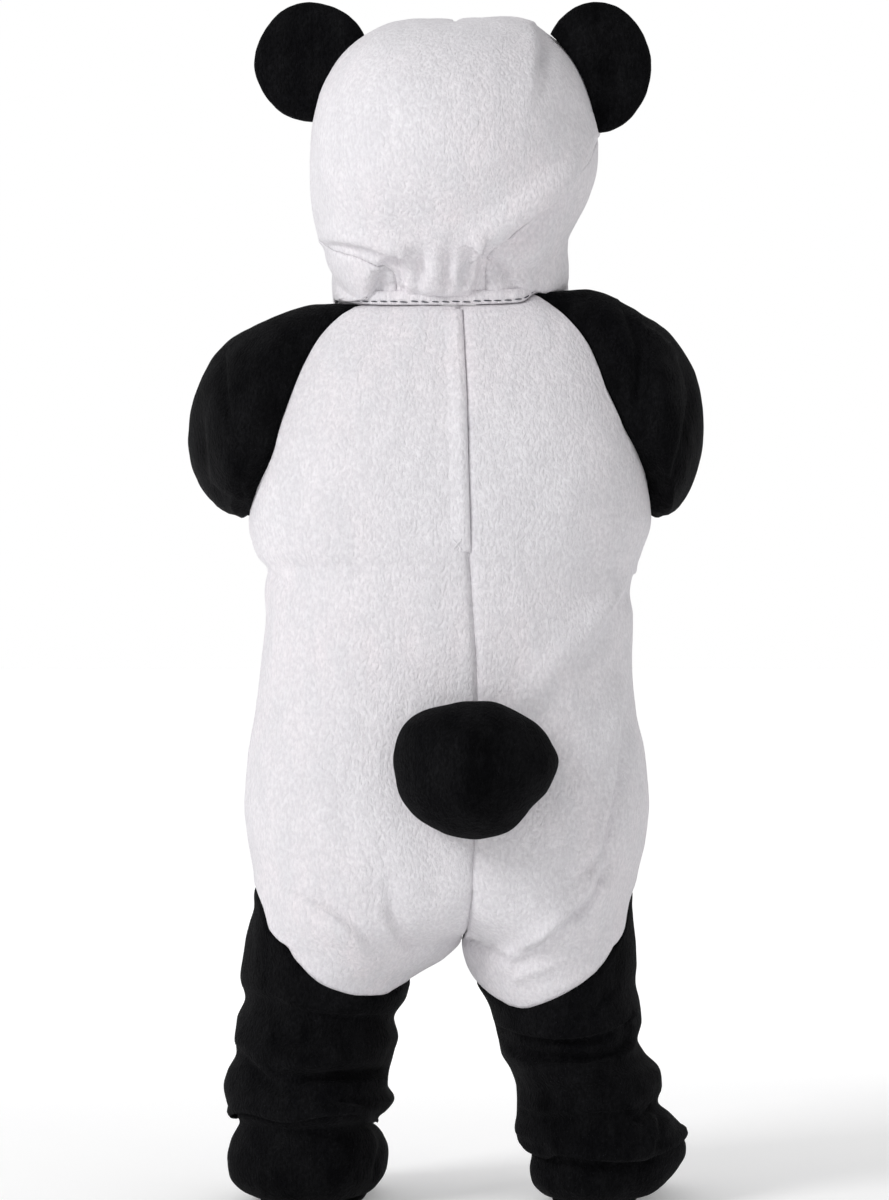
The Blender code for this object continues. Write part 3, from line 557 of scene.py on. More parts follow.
LEG_CREASES = table(
    CREASES,
    (2,  -1, -140, -482, 1,    5),
    (2,  -1, -120, -490, 3,    6),
    (2,  -1, -80,  -496, 3,    7),
    (2,  -1, -44,  -488, 0,    6),
    (5,  -1, -128, -478, 0,    5),
    (5,  -1, -100, -481, -2.4, 5),
    (5,  -1, -62,  -476, 0,    6),
    (7,  -1, 38,   -494, 1,    5),
    (7,  -1, 70,   -500, 2.6,  6),
    (7,  -1, 112,  -490, 2.4,  6),
    (10, -1, 44,   -523, 1,    5),
    (10, -1, 80,   -530, 3,    6),
    (10, -1, 112,  -524, 3.4,  6),
    (10, -1, 136,  -510, 2,    5),
    (13, -1, 52,   -553, 1,    5),
    (13, -1, 84,   -556, 3,    5),
    (13, -1, 122,  -554, 3.4,  5),
    (13, -1, 140,  -538, 1,    5),
    (14, 1,  -130, -478, 0,    5),
    (14, 1,  -90,  -486, -3.4, 5.5),
    (14, 1,  -48,  -480, 0,    5),
    (15, 1,  -136, -500, 0,    5),
    (15, 1,  -90,  -512, -3.6, 5.5),
    (15, 1,  -48,  -508, 0,    5),
    (16, 1,  -132, -490, 1,    6),
    (16, 1,  -90,  -499, 3,    6),
    (16, 1,  -48,  -496, 0,    6),
    (17, 1,  36,   -488, 0,    5),
    (17, 1,  80,   -492, -3.4, 5.5),
    (17, 1,  120,  -482, 0,    5),
    (18, 1,  42,   -512, 0,    5),
    (18, 1,  84,   -520, -3.6, 5.5),
    (18, 1,  132,  -508, 0,    5),
    (19, 1,  40,   -500, 1,    6),
    (19, 1,  84,   -507, 3,    6),
    (19, 1,  124,  -496, 0,    6),
)
FOOT_CREASES = table(
    CREASES,
    (4, -1, 70,   -566, 0,    4),
    (4, -1, 66,   -576, -2,   4),
    (4, -1, 72,   -586, 0,    4),
)
LAPS = "lap  face  x  z  lift  drop  spread"
BODY_LAPS = table(
    LAPS,
    (1,  -1, -127, -171, 2,   3,   8),
    (1,  -1, -123, -176, 2.6, 3.6, 8),
    (1,  -1, -116, -182, 2.6, 3.6, 8),
    (1,  -1, -108, -187, 2,   2.4, 8),
    (1,  -1, -95,  -194, 0,   0,   8),
    (2,  -1, 78,   -245, 0,   0,   9),
    (2,  -1, 83,   -239, 1,   1,   9),
    (2,  -1, 95,   -224, 2,   2,   9),
    (2,  -1, 105,  -207, 2.6, 3,   9),
    (2,  -1, 114,  -192, 3,   3.6, 9),
    (2,  -1, 118,  -186, 3,   3.6, 9),
    (3,  -1, 79,   -376, 0,   0,   8),
    (3,  -1, 95,   -360, 2.4, 3.6, 9),
    (3,  -1, 103,  -333, 3,   4.8, 9),
    (3,  -1, 107,  -311, 3,   5,   9),
    (3,  -1, 111,  -280, 2.6, 4.2, 9),
    (3,  -1, 113,  -260, 1.5, 2.4, 8),
    (3,  -1, 118,  -236, 0,   0,   8),
    (4,  -1, 92,   -332, 0,   0,   6),
    (4,  -1, 99,   -306, 1,   1.6, 6),
    (4,  -1, 105,  -287, 1.2, 1.6, 6),
    (4,  -1, 112,  -270, 0,   0,   6),
    (5,  -1, 85,   -392, 0,   0,   6),
    (5,  -1, 93,   -377, 1.6, 2.4, 6),
    (5,  -1, 99,   -353, 1.4, 2,   6),
    (5,  -1, 105,  -327, 0,   0,   6),
    (6,  -1, 37,   -433, 0,   0,   8),
    (6,  -1, 44,   -429, 2.4, 3,   8),
    (6,  -1, 60,   -417, 3.6, 5,   8),
    (6,  -1, 80,   -397, 3.8, 6,   8),
    (6,  -1, 90,   -388, 3,   5,   8),
    (6,  -1, 100,  -366, 2,   3,   8),
    (6,  -1, 101,  -354, 0,   0,   8),
    (7,  -1, 104,  -407, 0,   0,   6),
    (7,  -1, 85,   -421, 1.4, 1,   6),
    (7,  -1, 60,   -433, 2,   1.6, 6),
    (7,  -1, 44,   -438, 2,   2,   6),
    (7,  -1, 40,   -443, 1.4, 1.6, 6),
    (7,  -1, 42,   -448, 0,   0,   6),
    (8,  -1, 9,    -418, 1,   2,   5),
    (8,  -1, 12,   -419, 1.6, 3.6, 5),
    (8,  -1, 24,   -422, 2,   4,   5),
    (8,  -1, 36,   -429, 1.6, 2.6, 5),
    (8,  -1, 40,   -432, 0,   0,   5),
    (9,  -1, -49,  -424, 0,   0,   9),
    (9,  -1, -53,  -419, 2,   1.4, 9),
    (9,  -1, -61,  -409, 2.6, 2,   9),
    (9,  -1, -77,  -397, 2.2, 1.6, 9),
    (9,  -1, -99,  -387, 1.4, 0.8, 9),
    (9,  -1, -107, -383, 0,   0,   9),
    (10, -1, -17,  -431, 0,   0,   7),
    (10, -1, -25,  -424, 1.6, 1.6, 7),
    (10, -1, -32,  -417, 2.2, 2.4, 7),
    (10, -1, -39,  -402, 2,   2.2, 7),
    (10, -1, -41,  -378, 1.2, 1.2, 7),
    (10, -1, -40,  -366, 0,   0,   7),
)
HOOD_LAPS = table(
    LAPS,
    (1,  -1, 21,   16,   2,   3,   12),
    (1,  -1, 39,   26,   5,   6.5, 12),
    (1,  -1, 52,   36,   6.5, 8,   12),
    (1,  -1, 73,   56,   7,   8.5, 12),
    (1,  -1, 83,   71,   6,   7.5, 12),
    (1,  -1, 92,   90,   4,   5,   12),
    (1,  -1, 95,   95,   1.5, 2,   12),
    (2,  -1, -84,  28,   1.4, 1.6, 9),
    (2,  -1, -69,  25,   2.6, 3,   9),
    (2,  -1, -49,  20,   3.4, 4.4, 9),
    (2,  -1, -32,  14,   3.6, 4.8, 9),
    (2,  -1, -28,  11,   1,   1.5, 7),
    (3,  -1, -74,  -7,   2,   3,   7),
    (3,  -1, -66,  -5,   3,   5,   7),
    (3,  -1, -60,  -3,   3.5, 6,   7),
    (3,  -1, -49,  -1,   4,   6,   7),
    (3,  -1, -43,  11,   3.5, 5,   7),
    (3,  -1, -32,  15,   2,   3,   7),
    (4,  -1, 20,   18,   2,   3,   7),
    (4,  -1, 32,   11,   3,   5,   7),
    (4,  -1, 41,   3,    4,   6,   7),
    (4,  -1, 49,   -1,   4,   6,   7),
    (4,  -1, 65,   -3,   3,   5,   7),
    (4,  -1, 72,   -3,   2,   3,   7),
    (5,  -1, -28,  -1,   3,   2,   10),
    (5,  -1, -15,  -4,   4.4, 2.6, 10),
    (5,  -1, 0,    -5,   5,   3,   10),
    (5,  -1, 13,   -4,   4.6, 3,   10),
    (5,  -1, 18,   4,    3,   3,   7),
    (5,  -1, 20,   15,   2,   2,   7),
    (6,  -1, -32,  15,   2,   2,   5),
    (6,  -1, -31,  8,    3,   3,   5),
    (6,  -1, -28,  -1,   3,   3,   5),
    (7,  -1, 52,   105,  0,   0,   9),
    (7,  -1, 56,   124,  2.4, 2.4, 9),
    (7,  -1, 58,   144,  3.4, 4.2, 9),
    (7,  -1, 58,   156,  3.4, 4.2, 9),
    (7,  -1, 57,   161,  2,   2,   9),
)
SLEEVE_LAPS = table(
    LAPS,
    (1,  -1, -143, -47,  2,   3,   8),
    (1,  -1, -142, -68,  2.4, 3.6, 8),
    (1,  -1, -140, -81,  1.2, 2,   8),
    (1,  -1, -139, -90,  0,   0,   8),
    (2,  -1, -158, -77,  0,   0,   7),
    (2,  -1, -157, -100, 1.8, 2.6, 7),
    (2,  -1, -155, -126, 2.6, 3.6, 7),
    (2,  -1, -147, -132, 2.4, 3.2, 7),
    (2,  -1, -130, -142, 1.4, 2,   7),
    (3,  -1, -138, -122, 0,   0,   4),
    (3,  -1, -132, -132, 1.4, 2,   4),
    (3,  -1, -129, -143, 1.4, 2,   4),
    (4,  -1, 114,  -93,  0,   0,   8),
    (4,  -1, 117,  -73,  1.8, 2.4, 8),
    (4,  -1, 118,  -39,  2.4, 3.2, 8),
    (4,  -1, 111,  -15,  1,   1.4, 8),
    (5,  -1, 124,  -52,  0,   0,   6),
    (5,  -1, 127,  -28,  1.6, 2.2, 6),
    (5,  -1, 124,  -22,  1.2, 1.6, 6),
    (6,  -1, 145,  -38,  1,   1.5, 6),
    (6,  -1, 135,  -29,  1.8, 2.4, 6),
    (6,  -1, 125,  -22,  1,   1.5, 6),
    (7,  -1, 134,  -136, 0.6, 1,   7),
    (7,  -1, 142,  -123, 2,   2.8, 7),
    (7,  -1, 148,  -100, 2.8, 3.6, 7),
    (7,  -1, 153,  -68,  2.8, 3.6, 7),
    (7,  -1, 146,  -41,  1,   1.4, 7),
)
LEG_LAPS = table(
    LAPS,
    (1,  -1, -130, -454, 0.8, 1,   7),
    (1,  -1, -112, -456, 1.2, 1.8, 7),
    (1,  -1, -92,  -463, 1.5, 2.2, 7),
    (1,  -1, -68,  -466, 1.5, 2.2, 7),
    (1,  -1, -45,  -468, 1.2, 1.8, 7),
    (1,  -1, -35,  -469, 1,   1,   7),
    (2,  -1, -135, -490, 2,   2.6, 7),
    (2,  -1, -126, -497, 2.6, 3.4, 7),
    (2,  -1, -115, -506, 3,   3.4, 7),
    (2,  -1, -106, -512, 3,   3,   7),
    (2,  -1, -97,  -513, 2,   2,   7),
    (3,  -1, -36,  -514, 2,   3,   7),
    (3,  -1, -39,  -510, 3,   5,   7),
    (3,  -1, -49,  -508, 3.4, 6,   7),
    (3,  -1, -61,  -508, 3.4, 6,   7),
    (3,  -1, -77,  -507, 3,   5,   7),
    (3,  -1, -90,  -509, 2,   3,   7),
    (3,  -1, -97,  -513, 1,   1.5, 7),
    (4,  -1, -66,  -520, 1,   1.4, 5),
    (4,  -1, -57,  -520, 2,   3,   5),
    (4,  -1, -47,  -524, 2,   3,   5),
    (4,  -1, -40,  -526, 1,   1.5, 5),
    (5,  -1, 113,  -449, 0,   0,   5),
    (5,  -1, 99,   -459, 1.4, 2,   5),
    (5,  -1, 95,   -467, 1.6, 2.4, 5),
    (5,  -1, 98,   -474, 0,   0,   5),
    (6,  -1, 30,   -477, 1.6, 2.6, 7),
    (6,  -1, 44,   -480, 2.4, 5,   7),
    (6,  -1, 65,   -482, 3,   7,   7),
    (6,  -1, 85,   -481, 3,   7,   7),
    (6,  -1, 101,  -478, 2.6, 5,   7),
    (6,  -1, 119,  -471, 1.6, 2.6, 7),
    (7,  -1, 117,  -475, 1.6, 2,   7),
    (7,  -1, 115,  -487, 2.4, 3,   7),
    (7,  -1, 105,  -494, 3,   5,   7),
    (7,  -1, 85,   -498, 3,   6,   7),
    (7,  -1, 65,   -497, 3,   6,   7),
    (7,  -1, 44,   -493, 2.4, 4,   7),
    (7,  -1, 33,   -487, 1,   1.5, 7),
    (8,  -1, 44,   -511, 0,   0,   6),
    (8,  -1, 65,   -512, 0.8, 1.6, 6),
    (8,  -1, 85,   -511, 0.9, 1.8, 6),
    (8,  -1, 103,  -509, 0.8, 1.6, 6),
    (8,  -1, 109,  -511, 0,   0,   6),
    (9,  -1, 108,  -512, 1.6, 1.6, 6),
    (9,  -1, 111,  -524, 3,   2.6, 6),
    (9,  -1, 120,  -532, 2.4, 2,   6),
    (10, -1, 121,  -530, 2,   3,   5),
    (10, -1, 126,  -528, 2.6, 4,   5),
    (10, -1, 132,  -523, 2.6, 4,   5),
    (10, -1, 135,  -521, 1.6, 2.4, 5),
    (11, -1, 37,   -529, 1.2, 1.6, 6),
    (11, -1, 60,   -531, 1.8, 2.8, 6),
    (11, -1, 77,   -531, 1.8, 2.8, 6),
    (11, -1, 91,   -528, 1.6, 2.6, 6),
    (11, -1, 103,  -529, 1.6, 2.6, 6),
    (11, -1, 115,  -536, 1,   1.4, 6),
    (12, -1, 130,  -550, 2,   2.6, 5),
    (12, -1, 133,  -544, 2.4, 3.4, 5),
    (12, -1, 134,  -534, 2.4, 3,   5),
    (12, -1, 129,  -529, 1.4, 1.6, 5),
)
FOOT_LAPS = table(
    LAPS,
    (1,  -1, -49,  -574, 1,   2,   5),
    (1,  -1, -48,  -567, 1.4, 3,   5),
    (1,  -1, -45,  -555, 1.4, 3,   5),
    (1,  -1, -48,  -541, 1,   2,   5),
    (2,  -1, -140, -563, 0.6, 0.6, 4),
    (2,  -1, -131, -558, 1.4, 1.6, 4),
    (2,  -1, -123, -556, 1,   1.2, 4),
    (2,  -1, -117, -553, 0,   0,   4),
    (3,  -1, -117, -578, 0.6, 0.6, 4),
    (3,  -1, -117, -568, 1.2, 1.4, 4),
    (3,  -1, -108, -563, 0,   0,   4),
    (4,  -1, -136, -546, 0,   0,   5),
    (4,  -1, -127, -553, 1,   1.2, 5),
    (4,  -1, -119, -564, 0,   0,   5),
)
LAPPED = {"back": BODY_LAPS, "front": BODY_LAPS, "hood": HOOD_LAPS, "sleeve": SLEEVE_LAPS,
          "leg": LEG_LAPS, "foot": FOOT_LAPS}
CREASE_FADE = 22.0
LAP_EDGE = 1.7


def through(xs, ys, at):
    """A smooth curve through given points that makes no waves between them."""
    order = np.argsort(xs)
    x, y = xs[order], ys[order]
    gap = np.diff(x)
    slope = np.diff(y) / gap
    near, far = slope[:-1], slope[1:]
    first, second = 2 * gap[1:] + gap[:-1], gap[1:] + 2 * gap[:-1]
    bends = near * far > 0
    safe_near, safe_far = np.where(bends, near, 1), np.where(bends, far, 1)
    inside = np.where(bends, (first + second) / (first / safe_near + second / safe_far), 0)
    tangent = np.concatenate(([slope[0]], inside, [slope[-1]]))
    at = np.clip(at, x[0], x[-1])
    i = np.clip(np.searchsorted(x, at) - 1, 0, len(gap) - 1)
    t = (at - x[i]) / gap[i]
    start = y[i] * (1 + 2 * t) * (1 - t) ** 2 + tangent[i] * gap[i] * t * (1 - t) ** 2
    return start + y[i + 1] * t * t * (3 - 2 * t) + tangent[i + 1] * gap[i] * t * t * (t - 1)


def body_rows(side, leg):
    """The columns of one half of the body, torso rows first and then that side's leg."""
    outline = TORSO["left"] if side == LEFT else TORSO["right"]
    return {
        "z": np.append(TORSO["z"], leg["z"]),
        "inner": np.append(TORSO["middle"], leg["inner"]),
        "outer": np.append(outline, leg["outer"]),
        "cleft": np.append(TORSO["cleft"], np.ones(len(leg["z"]))),
        "back": np.append(TORSO["back"], leg["back"]),
        "front": np.append(TORSO["front"], leg["front"]),
    }


BODY = {LEFT: body_rows(LEFT, LEG_LEFT), RIGHT: body_rows(RIGHT, LEG_RIGHT)}


def body_point(side, turn, z):
    """A point of the worn form; turn is 0 at the back middle, 0.5 at the side, 1 at the front middle."""
    rows = BODY[side]
    inner, outer, cleft, back, front = (
        through(rows["z"], rows[name], z) for name in ("inner", "outer", "cleft", "back", "front")
    )
    power = 2 / (BOXY + (2 - BOXY) * cleft)
    angle = (2 * turn - 1) * (math.pi / 2 + np.arcsin(np.clip(cleft, 0, 1)))
    half = (outer - inner) / (1 + cleft**power)
    across, along = np.cos(angle), np.sin(angle)
    x = outer - half + half * np.sign(across) * np.abs(across) ** power
    y = np.where(angle < 0, back, front) * np.sign(along) * np.abs(along) ** power
    foot = np.clip((TOE_TOP - z) / TOE_RISE, 0, 1)
    return folded(np.stack((x + TOE_TURN * foot * y, y, z + 0 * x), -1), BODY_FOLDS, FOLD_FRONT)


def folded(points, folds, fade):
    """The points with large folds on the back, which fade out in front of a depth."""
    x, y, z = points[..., 0], points[..., 1], points[..., 2]
    lift = np.zeros_like(x)
    for row in zip(*folds.values()):
        x_from, z_from, x_to, z_to, height, spread = row
        run = np.array((x_to - x_from, z_to - z_from))
        t = ((x - x_from) * run[0] + (z - z_from) * run[1]) / (run @ run)
        near = np.clip(t, 0, 1)
        off = np.hypot(x - x_from - near * run[0], z - z_from - near * run[1])
        lift += height * np.exp(-((off / spread) ** 2))
    seen = np.clip((fade - y) / FOLD_FADE, 0, 1)
    out = points.copy()
    out[..., 1] -= lift * seen
    return out


def turn_at(side, x, z, face):
    """The turn at which the worn form reaches x at a height above the crotch; face is -1 back, 1 front."""
    rows = BODY[side]
    inner, outer = through(rows["z"], rows["inner"], z), through(rows["z"], rows["outer"], z)
    share = np.clip((x - inner) / (outer - inner), 0, 1)
    return 0.5 + face * np.arccos(share ** (BOXY / 2)) / math.pi


def evenly(xs, zs, count):
    """Points an even way apart on a line that is given by a few of them."""
    length = np.concatenate(([0], np.cumsum(np.hypot(np.diff(xs), np.diff(zs)))))
    at = np.linspace(0, length[-1], count + 1)
    return through(length, xs, at), through(length, zs, at)


def raglan(side, face):
    """Turn and height along a raglan seam, from the neck edge to the underarm."""
    if face < 0:
        x, z = RAGLAN_BACK[side]["x"], RAGLAN_BACK[side]["z"]
    else:
        x, z = side * RAGLAN_FRONT["out"], RAGLAN_FRONT["z"]
    x, z = evenly(x, z, RAGLAN_STEPS * ACROSS)
    least = -face * LEAST_TURN / ACROSS * np.arange(len(x))
    runs_out = np.maximum.accumulate if face < 0 else np.minimum.accumulate
    turn = runs_out(turn_at(side, x, z, face) - least) + least
    turn[-1] = 0.5
    shift = through(NECK_EDGE[side]["turn"], NECK_EDGE[side]["z"], turn[0]) - z[0]
    z[: ACROSS + 1] += shift * np.linspace(1, 0, ACROSS + 1)
    return turn, z


def neck_height(side, turn):
    return through(NECK_EDGE[side]["turn"], NECK_EDGE[side]["z"], turn)


def catmull(points, count):
    """Rows on a smooth surface through given rings, an even share of them between each two."""
    knots = np.arange(len(points))
    at = np.linspace(0, len(points) - 1, count)
    i = np.clip(at.astype(int), 0, len(points) - 2)
    t = (at - knots[i])[:, None, None]
    padded = np.concatenate(([2 * points[0] - points[1]], points, [2 * points[-1] - points[-2]]))
    a, b, c, d = padded[i], padded[i + 1], padded[i + 2], padded[i + 3]
    return 0.5 * (2 * b + (c - a) * t + (2 * a - 5 * b + 4 * c - d) * t**2 + (3 * b - a - 3 * c + d) * t**3)


def armhole(side):
    """The closed seam of a sleeve: up the back raglan, over the shoulder, down the front raglan."""
    back_turn, back_z = raglan(side, -1)
    front_turn, front_z = raglan(side, 1)
    over = np.linspace(back_turn[0], front_turn[0], SHOULDER_STEPS * ACROSS + 1)[1:-1]
    turn = np.concatenate((back_turn[::-1], over, front_turn[:-1]))
    z = np.concatenate((back_z[::-1], neck_height(side, over), front_z[:-1]))
    return body_point(side, turn, z)


def direction(azimuth, elevation):
    a, e = np.radians(azimuth), np.radians(elevation)
    return np.stack((np.sin(a) * np.cos(e), -np.cos(a) * np.cos(e), np.sin(e)), -1)


def hood_reach(way):
    """How far the hood lies from the head's middle in a direction."""
    flat = np.hypot(way[..., 0], way[..., 1])
    elevation = np.degrees(np.arctan2(way[..., 2], flat))
    left, back, right, front = (
        through(HOOD["elevation"], HOOD[name], elevation) for name in ("left", "back", "right", "front")
    )
    sideways = np.abs(way[..., 0]) / np.maximum(flat, 1e-9)
    lengthways = np.abs(way[..., 1]) / np.maximum(flat, 1e-9)
    to_side = np.where(way[..., 0] < 0, left, right)
    to_end = np.where(way[..., 1] < 0, back, front)
    shape = (sideways / to_side) ** HOOD_BOXY + (lengthways / to_end) ** HOOD_BOXY
    return shape ** (-1 / HOOD_BOXY)


def on_hood(way):
    return HEAD + way * hood_reach(way)[..., None]


def neck_point(side, turn):
    """The hood's neck edge, just above the band."""
    point = body_point(side, turn, neck_height(side, turn))
    point[..., 2] += BAND_HEIGHT + 2 * BAND_GAP
    return point


def panel_grid(side, face):
    """Back or front panel: columns from the middle to the side, rows from neck and raglan to leg seam."""
    seam_turn, seam_z = raglan(side, face)
    middle = 0.0 if face < 0 else 1.0
    neck_turn = np.linspace(middle, seam_turn[0], NECK_STEPS * ACROSS + 1)[:-1]
    top_turn = np.concatenate((neck_turn, seam_turn))
    top_z = np.concatenate((neck_height(side, neck_turn), seam_z))
    low_turn = np.linspace(middle, 0.5, len(top_turn))
    low_z = through(LEG_SEAM[side]["turn"], LEG_SEAM[side]["z"], low_turn)
    fork_z = low_z + (CROTCH - INSEAM)
    yoke = np.linspace(0, 1, YOKE_ROWS + 1)[:, None]
    seat = np.linspace(0, 1, SEAT_ROWS + 1)[1:, None]
    last = np.linspace(0, 1, INSEAM_ROWS + 1)[1:, None]
    steps = np.linspace(0, len(PANEL_LEVELS) - 1, LEVEL_ROWS + 1)[1:]
    levels = np.interp(steps, np.arange(len(PANEL_LEVELS)), PANEL_LEVELS)[:, None]
    z = np.concatenate((
        top_z + (PANEL_LEVELS[0] - top_z) * yoke,
        levels + 0 * top_z,
        PANEL_LEVELS[-1] + (fork_z - PANEL_LEVELS[-1]) * seat,
        fork_z + (low_z - fork_z) * last,
    ))
    turn = np.concatenate((top_turn + (low_turn - top_turn) * yoke**2, low_turn + 0 * z[len(yoke):]))
    return body_point(side, turn, z)


def sleeve_grid(side):
    """Sleeve from the armhole to the open cuff, closed round."""
    rows = SLEEVE_LEFT if side == LEFT else SLEEVE_RIGHT
    hole = armhole(side)
    rise = []
    for face in (-1, 1):
        z = raglan(side, face)[1]
        rise.append(np.arccos(np.clip(1 - 2 * SHOULDER_REACH * (z - z[-1]) / (z[0] - z[-1]), -1, 1)))
    back, front = rise[0][::-1], 2 * math.pi - rise[1]
    over = np.linspace(back[-1], front[0], SHOULDER_STEPS * ACROSS + 1)[1:-1]
    angle = np.concatenate((back, over, front[:-1]))
    rings = [hole]
    for out, y, z, heading, dip, wide, tall in zip(*rows.values()):
        turn, sink = math.radians(heading), math.radians(dip)
        outward = np.array((side * math.sin(turn), -math.cos(turn), 0))
        level = math.cos(sink)
        along = np.array((side * math.cos(turn) * level, math.sin(turn) * level, -math.sin(sink)))
        up = np.cross(along, outward) * -side
        ring = np.outer(np.sin(angle) * wide, outward) - np.outer(np.cos(angle) * tall, up)
        rings.append(ring + (side * out, y, z))
    back = np.sin(angle)
    rounded = np.clip(np.where(np.cos(angle) < 0, 1 + 2.5 * back, 0.5 + back), 0, 1)[:, None]
    for step in range(1, ARMPIT_RING):
        straight = hole + (rings[ARMPIT_RING] - hole) * step / ARMPIT_RING
        rings[step] = straight + (rings[step] - straight) * rounded
    grid = catmull(np.array(rings), SLEEVE_ROWS)
    away = np.clip(np.linspace(0, 1 / SLEEVE_FOLD_SHARE, SLEEVE_ROWS), 0, 1)[:, None, None]
    return grid + (folded(grid, SLEEVE_FOLDS, SLEEVE_FOLD_FRONT) - grid) * away


def leg_grid(side, rows, top, bottom):
    """A stretch of the leg or foot, closed round; top and bottom give the height at each turn."""
    turn = np.linspace(0, 1, LEG_COLUMNS + 1)[:-1]
    t = np.linspace(0, 1, rows)[:, None]
    high, low = top(turn), bottom(turn)
    return body_point(side, turn + 0 * t, high + (low - high) * t)


def seam_line(side, steps):
    """Points of a hood seam; step 0 is its corner at the neck edge."""
    rows = HOOD_SEAM[side]
    corner = neck_point(side, np.array(HOOD_CORNER[side])) - HEAD
    azimuth = math.degrees(math.atan2(corner[0], -corner[1]))
    elevation = math.degrees(math.atan2(corner[2], math.hypot(corner[0], corner[1])))
    at = np.append(0, rows["step"])
    way = direction(
        through(at, np.append(azimuth, rows["azimuth"]), steps),
        through(at, np.append(elevation, rows["elevation"]), steps),
    )
    start = direction(azimuth, elevation)
    proud = np.linalg.norm(corner) / hood_reach(start) - 1
    near = np.clip(1 - steps / HOOD_CORNER_SPAN, 0, 1)
    return HEAD + way * (hood_reach(way) * (1 + proud * near))[:, None]


def patch(top, bottom, first, last):
    """Points of the hood inside four edges: top and bottom run across, first and last run down."""
    edges = []
    for edge in (top, bottom, first, last):
        way = edge - HEAD
        length = np.linalg.norm(way, axis=-1, keepdims=True)
        way = way / length
        edges.append(np.concatenate((way, length / hood_reach(way)[..., None]), -1))
    top, bottom, first, last = edges
    u = np.linspace(0, 1, len(top))[None, :, None]
    v = np.linspace(0, 1, len(first))[:, None, None]
    fall = np.concatenate((v, v, v, v**HOOD_TUCK), -1)
    across = top * (1 - fall) + bottom * fall
    down = first[:, None] * (1 - u) + last[:, None] * u
    corners = (top[0] * (1 - u) + top[-1] * u) * (1 - fall) + (bottom[0] * (1 - u) + bottom[-1] * u) * fall
    mixed = across + down - corners
    way = mixed[..., :3] / np.linalg.norm(mixed[..., :3], axis=-1, keepdims=True)
    return HEAD + way * (hood_reach(way) * mixed[..., 3])[..., None]


HOOD_STEPS = np.concatenate((
    np.linspace(0, HOOD_CORNER_STEP, HOOD_NAPE_STEPS + 1),
    np.linspace(HOOD_CORNER_STEP, 1, HOOD_SEAM_STEPS + 1)[1:],
))


def crown_grid():
    """Crown and back of the hood, rows from the forehead to the nape, columns from left to right."""
    steps = HOOD_STEPS[::-1]
    middle = direction(
        through(HOOD_MIDDLE["step"], HOOD_MIDDLE["azimuth"], steps),
        through(HOOD_MIDDLE["step"], HOOD_MIDDLE["elevation"], steps),
    )
    share = np.linspace(0, 1, HOOD_ACROSS // 2 + 1)[:, None, None]
    halves = []
    for side in (LEFT, RIGHT):
        seam = seam_line(side, HOOD_STEPS)[::-1] - HEAD
        length = np.linalg.norm(seam, axis=-1, keepdims=True)
        proud = length / hood_reach(seam / length)[:, None] - 1
        way = middle * (1 - share) + seam / length * share
        way /= np.linalg.norm(way, axis=-1, keepdims=True)
        halves.append(HEAD + way * hood_reach(way)[..., None] * (1 + proud * share))
    grid = np.concatenate((halves[0][::-1], halves[1][1:])).transpose(1, 0, 2)
    span = np.linspace(-HOOD_CORNER[LEFT], HOOD_CORNER[RIGHT], HOOD_ACROSS + 1)
    nape = np.where(
        (span < 0)[:, None], neck_point(LEFT, np.maximum(-span, 0)), neck_point(RIGHT, np.maximum(span, 0))
    )
    pull = np.clip(1 - steps / HOOD_CORNER_STEP, 0, 1)[:, None, None] ** 2
    return folded(grid + (nape - grid[-1]) * pull, HOOD_FOLDS, FOLD_FRONT)


def hood_side_grid(side):
    """Side of the hood: from the seam down to the neck edge, and from the nape to the face opening."""
    seam = seam_line(side, HOOD_STEPS)
    first, top = seam[: HOOD_NAPE_STEPS + 1][::-1], seam[HOOD_NAPE_STEPS:]
    bottom = neck_point(side, np.linspace(HOOD_CORNER[side], 1, HOOD_SEAM_STEPS + 1))
    step = np.linspace(0, 1, HOOD_NAPE_STEPS + 1)
    face = on_hood(direction(
        side * through(FACE_EDGE["step"], FACE_EDGE["azimuth"], step),
        through(FACE_EDGE["step"], FACE_EDGE["elevation"], step),
    ))
    ends = np.clip((step - 1) / FACE_END_SPAN + 1, 0, 1)[:, None]
    face = face * (1 - ends) + bottom[-1] * ends
    face[0] = top[-1]
    return folded(patch(top, bottom, first, face), HOOD_FOLDS, FOLD_FRONT)


def cut_pieces():
    """Each cut piece of the cloth: outer points, closes round, way it faces, creases, hems and finish."""
    pieces = {}
    for side, name in ((LEFT, "left"), (RIGHT, "right")):
        seam, hem, foot = LEG_SEAM[side], LEG_HEM[side], FLOOR + SOLE

        def seam_height(turn, seam=seam):
            return through(seam["turn"], seam["z"], turn)

        def hem_height(turn, hem=hem):
            return through(hem["turn"], hem["z"], turn)

        def sole_height(turn, foot=foot):
            return foot + 0 * turn

        pieces[f"back_{name}"] = (panel_grid(side, -1), False, -side, BODY_CREASES, (), "white")
        pieces[f"front_{name}"] = (panel_grid(side, 1), False, side, BODY_CREASES, (), "white")
        pieces[f"sleeve_{name}"] = (sleeve_grid(side), True, -side, SLEEVE_CREASES, ("bottom",), "black")
        leg = leg_grid(side, LEG_ROWS, seam_height, hem_height)
        pieces[f"leg_{name}"] = (leg, True, -side, LEG_CREASES, ("bottom",), "black")
        low = leg_grid(side, FOOT_ROWS, hem_height, sole_height)
        pieces[f"foot_{name}"] = (low, True, -side, FOOT_CREASES, (), "black")
        pieces[f"hood_{name}"] = (hood_side_grid(side), False, -side, HOOD_CREASES, ("right",), "white")
    pieces["hood_crown"] = (crown_grid(), False, -1, HOOD_CREASES, ("top",), "white")
    return pieces


def unit(vectors):
    return vectors / np.maximum(np.linalg.norm(vectors, axis=-1, keepdims=True), 1e-9)


